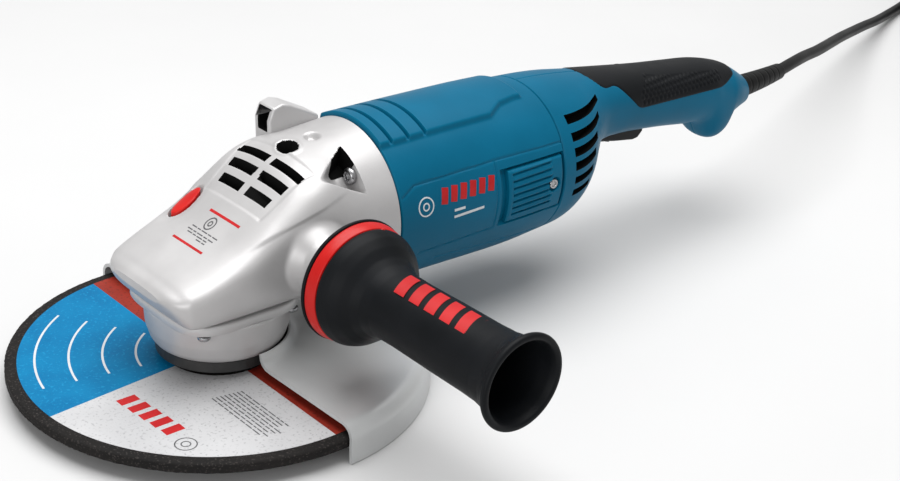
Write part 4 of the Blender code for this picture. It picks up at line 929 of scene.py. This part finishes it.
def barrel_relief(x, y, z, ny, nz):
    high = np.zeros_like(x)
    top = nz > 0.3
    reach = np.interp(x, [88, 171, 183, 196, 204], [27, 26.2, 20.5, 18.5, 18.5])
    pad = (1 - step(np.abs(y), reach - 1.6, reach + 1.4)) * step(-x, -203.5, -200.5)
    high = high + np.where(top, 2.5 * pad, 0)
    for spot in GROOVES:
        high = high + np.where(top, groove(x - spot, 2.3, 1.6) * (1 - step(np.abs(y), 25.5, 27.5)), 0)
    flank = np.abs(ny) > 0.45
    outline = [(90.5, 98.4), (99.7, 103.1), (159.8, 104.0), (158.9, 63.5), (104, 61.5)]
    line = np.full_like(x, 99.0)
    for a, b in zip(outline, outline[1:]):
        line = np.minimum(line, segment_distance(x, z, a, b))
    for a, b in (((159.8, 104.0), (214, 103.2)), ((120, 52.5), (205, 46.5))):
        line = np.minimum(line, segment_distance(x, z, a, b))
    high = high + np.where(flank, groove(line, 0.55, 0.75), 0)
    well = inside(x, 162.4, 216, 0.8) * inside(z, 63.0, 98.4, 0.8)
    high = high - np.where(flank, 3.0 * well, 0)
    high = high - 0.8 * step(x, 213.9, 214.5) - 0.8 * (1 - step(x, 88.1, 88.7))
    return high, np.zeros(x.shape, dtype=bool)


def motor_housing():
    marks = [88.7, 200.5, 203.5, 213.9] + [spot + d for spot in GROOVES for d in (-1.6, -0.8, 0.8, 1.6)]
    body = shell("barrel", BARREL_STATIONS, spaced(88.1, 214.5, 0.68, marks), 440, barrel_relief)
    piece(body, "teal_plastic", nodes=("motor_housing",))
    for side, word in ((-1, "right"), (1, "left")):
        brush_cover(side, word)
    side = on_side(BARREL_STATIONS, -1)
    blocks = []
    for k in range(6):
        x = 119.5 + 7.0 * k
        blocks.append(fine_path([(x - 0.8, 89.0 - 0.05 * k), (x + 0.8, 98.0 - 0.15 * k)], 1.5))
    piece(strokes("side_red_blocks", blocks, 4.6, side), "ink_red", slot="red_plastic")
    marks = [ring_path(105.6, 90.5, 5.2, 48), ring_path(105.6, 90.5, 2.0, 24)]
    piece(strokes("side_round_mark", marks, 0.8, side), "ink_white", slot="teal_plastic")
    bars = [fine_path([(126, 83.6), (134, 83.6)], 1.5), fine_path([(126, 79.6), (148.5, 80.2)], 1.5)]
    piece(strokes("side_white_bars", bars, 1.5, side), "ink_white", slot="teal_plastic")


def brush_cover(side, word):
    """Louvred cover let into the flank, with a screw near its rear edge."""
    place = on_side(BARREL_STATIONS, side)
    xs = spaced(*COVER_X, 0.5)
    zs = spaced(*COVER_Z, 0.4)
    rows = []
    for x in xs:
        ring = []
        for z in zs:
            rim = min(x - COVER_X[0], COVER_X[1] - x, z - COVER_Z[0], COVER_Z[1] - z)
            lift = 0.75 * float(step(rim, -0.1, 0.9)) - 0.3
            for spot in LOUVRES:
                slant = spot - 3.0 + 0.02 * (x - 170)
                fade = float(inside(x, 171.0, 203.6, 1.0))
                lift -= 1.35 * fade * float((1 - step(abs(z - slant), 0.35, 0.85)))
                lift += 0.45 * fade * float(np.exp(-((z - slant - 1.5) / 0.7) ** 2))
            hole = hypot(x - 205.5, z - 80)
            lift -= 2.2 * float(1 - step(hole, 4.1, 4.7))
            ring.append(place(x, z, lift))
        rows.append(ring)
    front = np.array(rows)
    back = front.copy()
    back[..., 1] -= side * 3.2
    count_x, count_z, _ = front.shape
    border = [(0, j) for j in range(count_z)] + [(i, count_z - 1) for i in range(1, count_x)]
    border += [(count_x - 1, j) for j in range(count_z - 2, -1, -1)]
    border += [(i, 0) for i in range(count_x - 2, 0, -1)]
    index = lambda i, j: i * count_z + j
    verts = (front.reshape(-1, 3) * MM).tolist()
    faces = [[index(i, j), index(i + 1, j), index(i + 1, j + 1), index(i, j + 1)]
             for i in range(count_x - 1) for j in range(count_z - 1)]
    base = len(verts)
    verts += [tuple(back[i, j] * MM) for i, j in border]
    total = len(border)
    for k, (i, j) in enumerate(border):
        n = (k + 1) % total
        faces.append([index(i, j), index(*border[n]), base + n, base + k])
    faces.append([base + k for k in range(total)])
    cover = tidy_mesh(new_object(f"louvred_cover_{word}", verts, faces), 1e-9)
    piece(cover, "teal_plastic", nodes=(f"brush_cover_{word}",))
    axis = "Y" if side < 0 else "-Y"
    screw(f"cover_bolt_{word}", 3.3, 1.9, 1.9, 5.0, axis, (205.5, side * 47.6, 80),
          (f"brush_cover_screw_{word}",))


# Rear handle

SLOTS = [(113.3, 112.9, 262.5), (103.7, 104.3, 257.5), (94.5, 96.9, 250.5), (85.3, 89.2, 246.5),
         (75.9, 81.1, 243.5), (66.5, 73.5, 240.5)]
GRIP_EDGE = [tuple(float(v) for v in point) for point in soften(GRIP_CORNERS, 4.0, 4)]


def zone_distance(x, z):
    """Signed distance to the grip's outline, negative inside it."""
    near = np.full(np.shape(x), 1e9)
    inner = np.zeros(np.shape(x), dtype=bool)
    count = len(GRIP_EDGE)
    for k in range(count):
        (ax, az), (bx, bz) = GRIP_EDGE[k], GRIP_EDGE[(k + 1) % count]
        near = np.minimum(near, segment_distance(x, z, (ax, az), (bx, bz)))
        crosses = (az > z) != (bz > z)
        at = ax + (z - az) / ((bz - az) if bz != az else 1e-9) * (bx - ax)
        inner ^= crosses & (x < at)
    return np.where(inner, -near, near)


def handle_relief(x, y, z, ny, nz):
    zone = zone_distance(x, z)
    high = -1.6 * (1 - step(zone, -1.2, -0.35))
    # slot and trigger-mouth points are marked for near-black painted shade
    hole = np.zeros(x.shape, dtype=bool)
    for first, second, end in SLOTS:
        _, z_middle, ny_middle, _ = section(HANDLE_STATIONS, (224 + end) / 2, len(x))
        open_columns = (np.abs(z_middle - (first + second) / 2) < 1.95) & (np.abs(ny_middle) > 0.25)
        slot = inside(x, 224.0, end, 0.8) * open_columns
        high = high - 7.5 * slot
        hole |= slot > 0.04
    split = groove(y, 0.5, 0.6) * (np.abs(nz) > 0.5)
    high = high + split
    mouth = inside(x, 277.5, 328.5, 1.0) * (1 - step(np.abs(y), 10.0, 11.0)) * (nz < -0.5)
    high = high - 13.0 * mouth - 0.8 * (1 - step(x, 214.8, 215.4))
    return high, hole | (mouth > 0.5)


def rear_handle():
    places = spaced(214.8, 266, 0.55, [215.4, 224, 224.8])
    places += spaced(266, 430.5, 1.15, [277.5, 278.5, 327.5, 328.5])[1:]
    body = shell("rear_shells", HANDLE_STATIONS, places, 390, handle_relief)
    piece(body, "teal_plastic", nodes=("handle_shell_left", "handle_shell_right"), extra=("hole_shade",))

    def grip_relief(x, y, z, ny, nz):
        zone = zone_distance(x, z)
        high = 0.35 - 0.5 * step(zone, -1.0, 0.2)
        panel_top = np.interp(x, [302, 318, 330, 392, 398], [106, 116, 113.2, 105.5, 101])
        panel = inside(x, 306, 392, 2.0) * step(z, 99.5, 101.0) * (1 - step(z, panel_top - 1, panel_top))
        pitch = 4.1
        row = np.round((z - 98) / (pitch * 0.866))
        offset = np.where(np.mod(row, 2) == 0, 0, pitch / 2)
        u = x - 300 - offset - pitch * np.round((x - 300 - offset) / pitch)
        v = z - 98 - row * pitch * 0.866
        dot = 1 - step(np.hypot(u, v), 1.05, 1.55)
        return high + panel * (0.65 * dot - 0.4), np.zeros(x.shape, dtype=bool)

    grip = shell("grip_skin", HANDLE_STATIONS, spaced(255, 428, 0.7), 260, grip_relief)
    boolean(grip, prism("tool", GRIP_EDGE, -60, 60), "INTERSECT")
    piece(grip, "soft_black", nodes=("soft_grip",), sharp=45)


def trigger():
    shape = [(279.2, 79), (281.5, 76.3), (300, 72.3), (318, 69.4), (322.5, 69.9), (327, 74), (326, 84),
             (281, 84)]
    paddle = prism("trigger_paddle_skin", shape, -9.6, 9.6)
    boolean(paddle, box_tool((291.2, -1.7, 60), (301.7, 1.7, 85)), "DIFFERENCE")
    bevelled(paddle, 1.5, 4)
    piece(paddle, "black_plastic", "trigger_paddle", ("trigger",))
    plate = [(288.6, 72.6), (289.4, 74.3), (300.6, 72.3), (301.4, 70.5), (300.4, 70.1), (296, 71.4),
             (292, 72.1)]
    slider = prism("lock_off_tab", plate, -4.3, 4.3)
    bevelled(slider, 0.4, 3)
    piece(slider, "black_plastic", "lock_off_slider", ("trigger_lock",))


def strain_relief():
    path = smooth_route(BOOT_PATH, 0.5)
    x = path[:, 0]
    radii = np.interp(x, [416, 430.2, 431.0, 431.8, 433.5, 486, 489.4, 490],
                      [4.9, 4.9, 7.7, 8.15, 8.2, 6.0, 5.9, 5.4])
    ribs = (x - 441) / 7.5
    rib = -0.3 * (1 - step(np.abs(ribs - np.round(ribs)), 0.05, 0.16)) * inside(x, 438, 482, 1.5)
    path = np.vstack([path, path[-1] + (path[-1] - path[-2]) * 0.2])
    radii = np.append(radii + rib, 4.75)
    piece(tube("boot", path, radii, 48), "rubber", nodes=("strain_relief",))


# Side handle

def side_handle():
    at = (SIDE_X, 0, SIDE_Z)
    body = [(7.1, -104.3), (7.1, -60.5), (14, -60.5), (17, -66), (25, -71.5), (33.2, -73.4), (34, -74.6),
            (33.6, -75.8), (28, -75.9), (28, -83.4), (31.4, -83.5), (32.2, -84.6), (32, -87),
            (30.4, -91), (27, -95.6), (22.8, -99.6), (20.0, -104), (18.6, -110), (18.3, -122),
            (18.7, -150), (18.9, -176), (19.3, -186), (20.6, -193.5), (23.2, -198.6), (25.2, -200.9),
            (25.6, -202.6), (24.8, -204), (23.0, -204.2), (21.8, -203.4), (20.6, -200.5), (19.4, -194),
            (18.6, -186), (17.6, -166), (0, -163.6), (0, -104.3)]
    obj = lathe("side_grip", body, 160, "Y", at, 1.0, 4)
    piece(obj, "soft_black", nodes=("side_handle_grip",))
    ring = [(28.3, -83.2), (28.3, -76.2), (33.0, -76.2), (33.3, -77.2), (32.9, -80), (32.1, -83.0),
            (31.6, -83.3)]
    piece(lathe("side_ring", ring, 160, "Y", at, 0.3), "red_plastic", nodes=("side_handle_damper",))
    for k, angle in enumerate((radians(18), radians(198))):
        tab = lathe(f"side_tab_{k + 1}", [(0, 0), (1.7, 0), (1.7, 0.9), (1.2, 1.3), (0, 1.3)], 24, "Y",
                    (0, 0, 0), 0.3)
        spot = Vector((SIDE_X + 31.0 * sin(angle), -84.4, SIDE_Z + 31.0 * cos(angle)))
        tab.data.transform(Matrix.Translation(spot * MM) @ Matrix.Rotation(pi, 4, "Z"))
        piece(tab, "red_plastic")
    grip = 18.62
    wall = lambda a, y, lift: (SIDE_X + (grip + lift) * cos(a), y,
                               SIDE_Z + (grip + lift) * sin(a))
    half, proud = 3.7, 0.25
    corners = ((-half, 0), (half, 0), (half, proud), (-half, proud))
    strips = []
    for k in range(6):
        y = -120.5 - 11.4 * k
        rings = [[wall(radians(d), y - 0.10 * (d - 98) + shift, lift) for shift, lift in corners]
                 for d in range(76, 125, 3)]
        strips.append((rings, False))
    piece(bars("side_grip_blocks", strips), "ink_red", slot="red_plastic")


# Inner parts, floor and light

def inner_parts():
    """CAD solids whose shape is right keep it and take a finished material."""
    kinds = {}
    for entry in frame["record"].get("materials", []):
        for name in entry.get("nodes", []):
            kinds[name] = entry["slot"]
    for name, obj in NODES.items():
        look = kinds.get(name)
        if look is None and obj.data.materials:
            look = obj.data.materials[0].name.split(".")[0]
        if look in LOOKS:
            if not obj.data.materials:
                obj.data.materials.append(None)
            for k in range(len(obj.data.materials)):
                obj.data.materials[k] = LOOKS[look]


def stage():
    far = 14
    corners = [(-far, -far, 0), (far, -far, 0), (far, far, 0), (-far, far, 0)]
    floor = new_object("floor", corners, [[0, 1, 2, 3]])
    floor.location.z = (FLOOR_Z - 0.15) * MM
    floor.data.materials.append(LOOKS["floor"])
    world = bpy.data.worlds.new("studio")
    world.use_nodes = True
    sky = world.node_tree.nodes["Background"].inputs
    sky["Color"].default_value = (1, 1, 1, 1)
    sky["Strength"].default_value = 0.53
    bpy.context.scene.world = world
    lights = [("key", (0.25, 0.15, 1.9), 2.2, 58), ("fill", (-1.5, -0.8, 0.5), 1.0, 10)]
    for name, spot, size, power in lights:
        data = bpy.data.lights.new(name, "AREA")
        data.shape = "DISK"
        data.size = size
        data.energy = power
        lamp = add_object(name, data)
        lamp.location = spot
        aim = Vector((0.12, 0, 0.06)) - lamp.location
        lamp.rotation_euler = aim.to_track_quat("-Z", "Y").to_euler()
    bpy.context.scene.view_settings.view_transform = "Standard"


camera()
inner_parts()
cord()
gear_head()
lock_button()
bearing_cover()
disc()
hub()
guard()
motor_housing()
rear_handle()
trigger()
strain_relief()
side_handle()
stage()
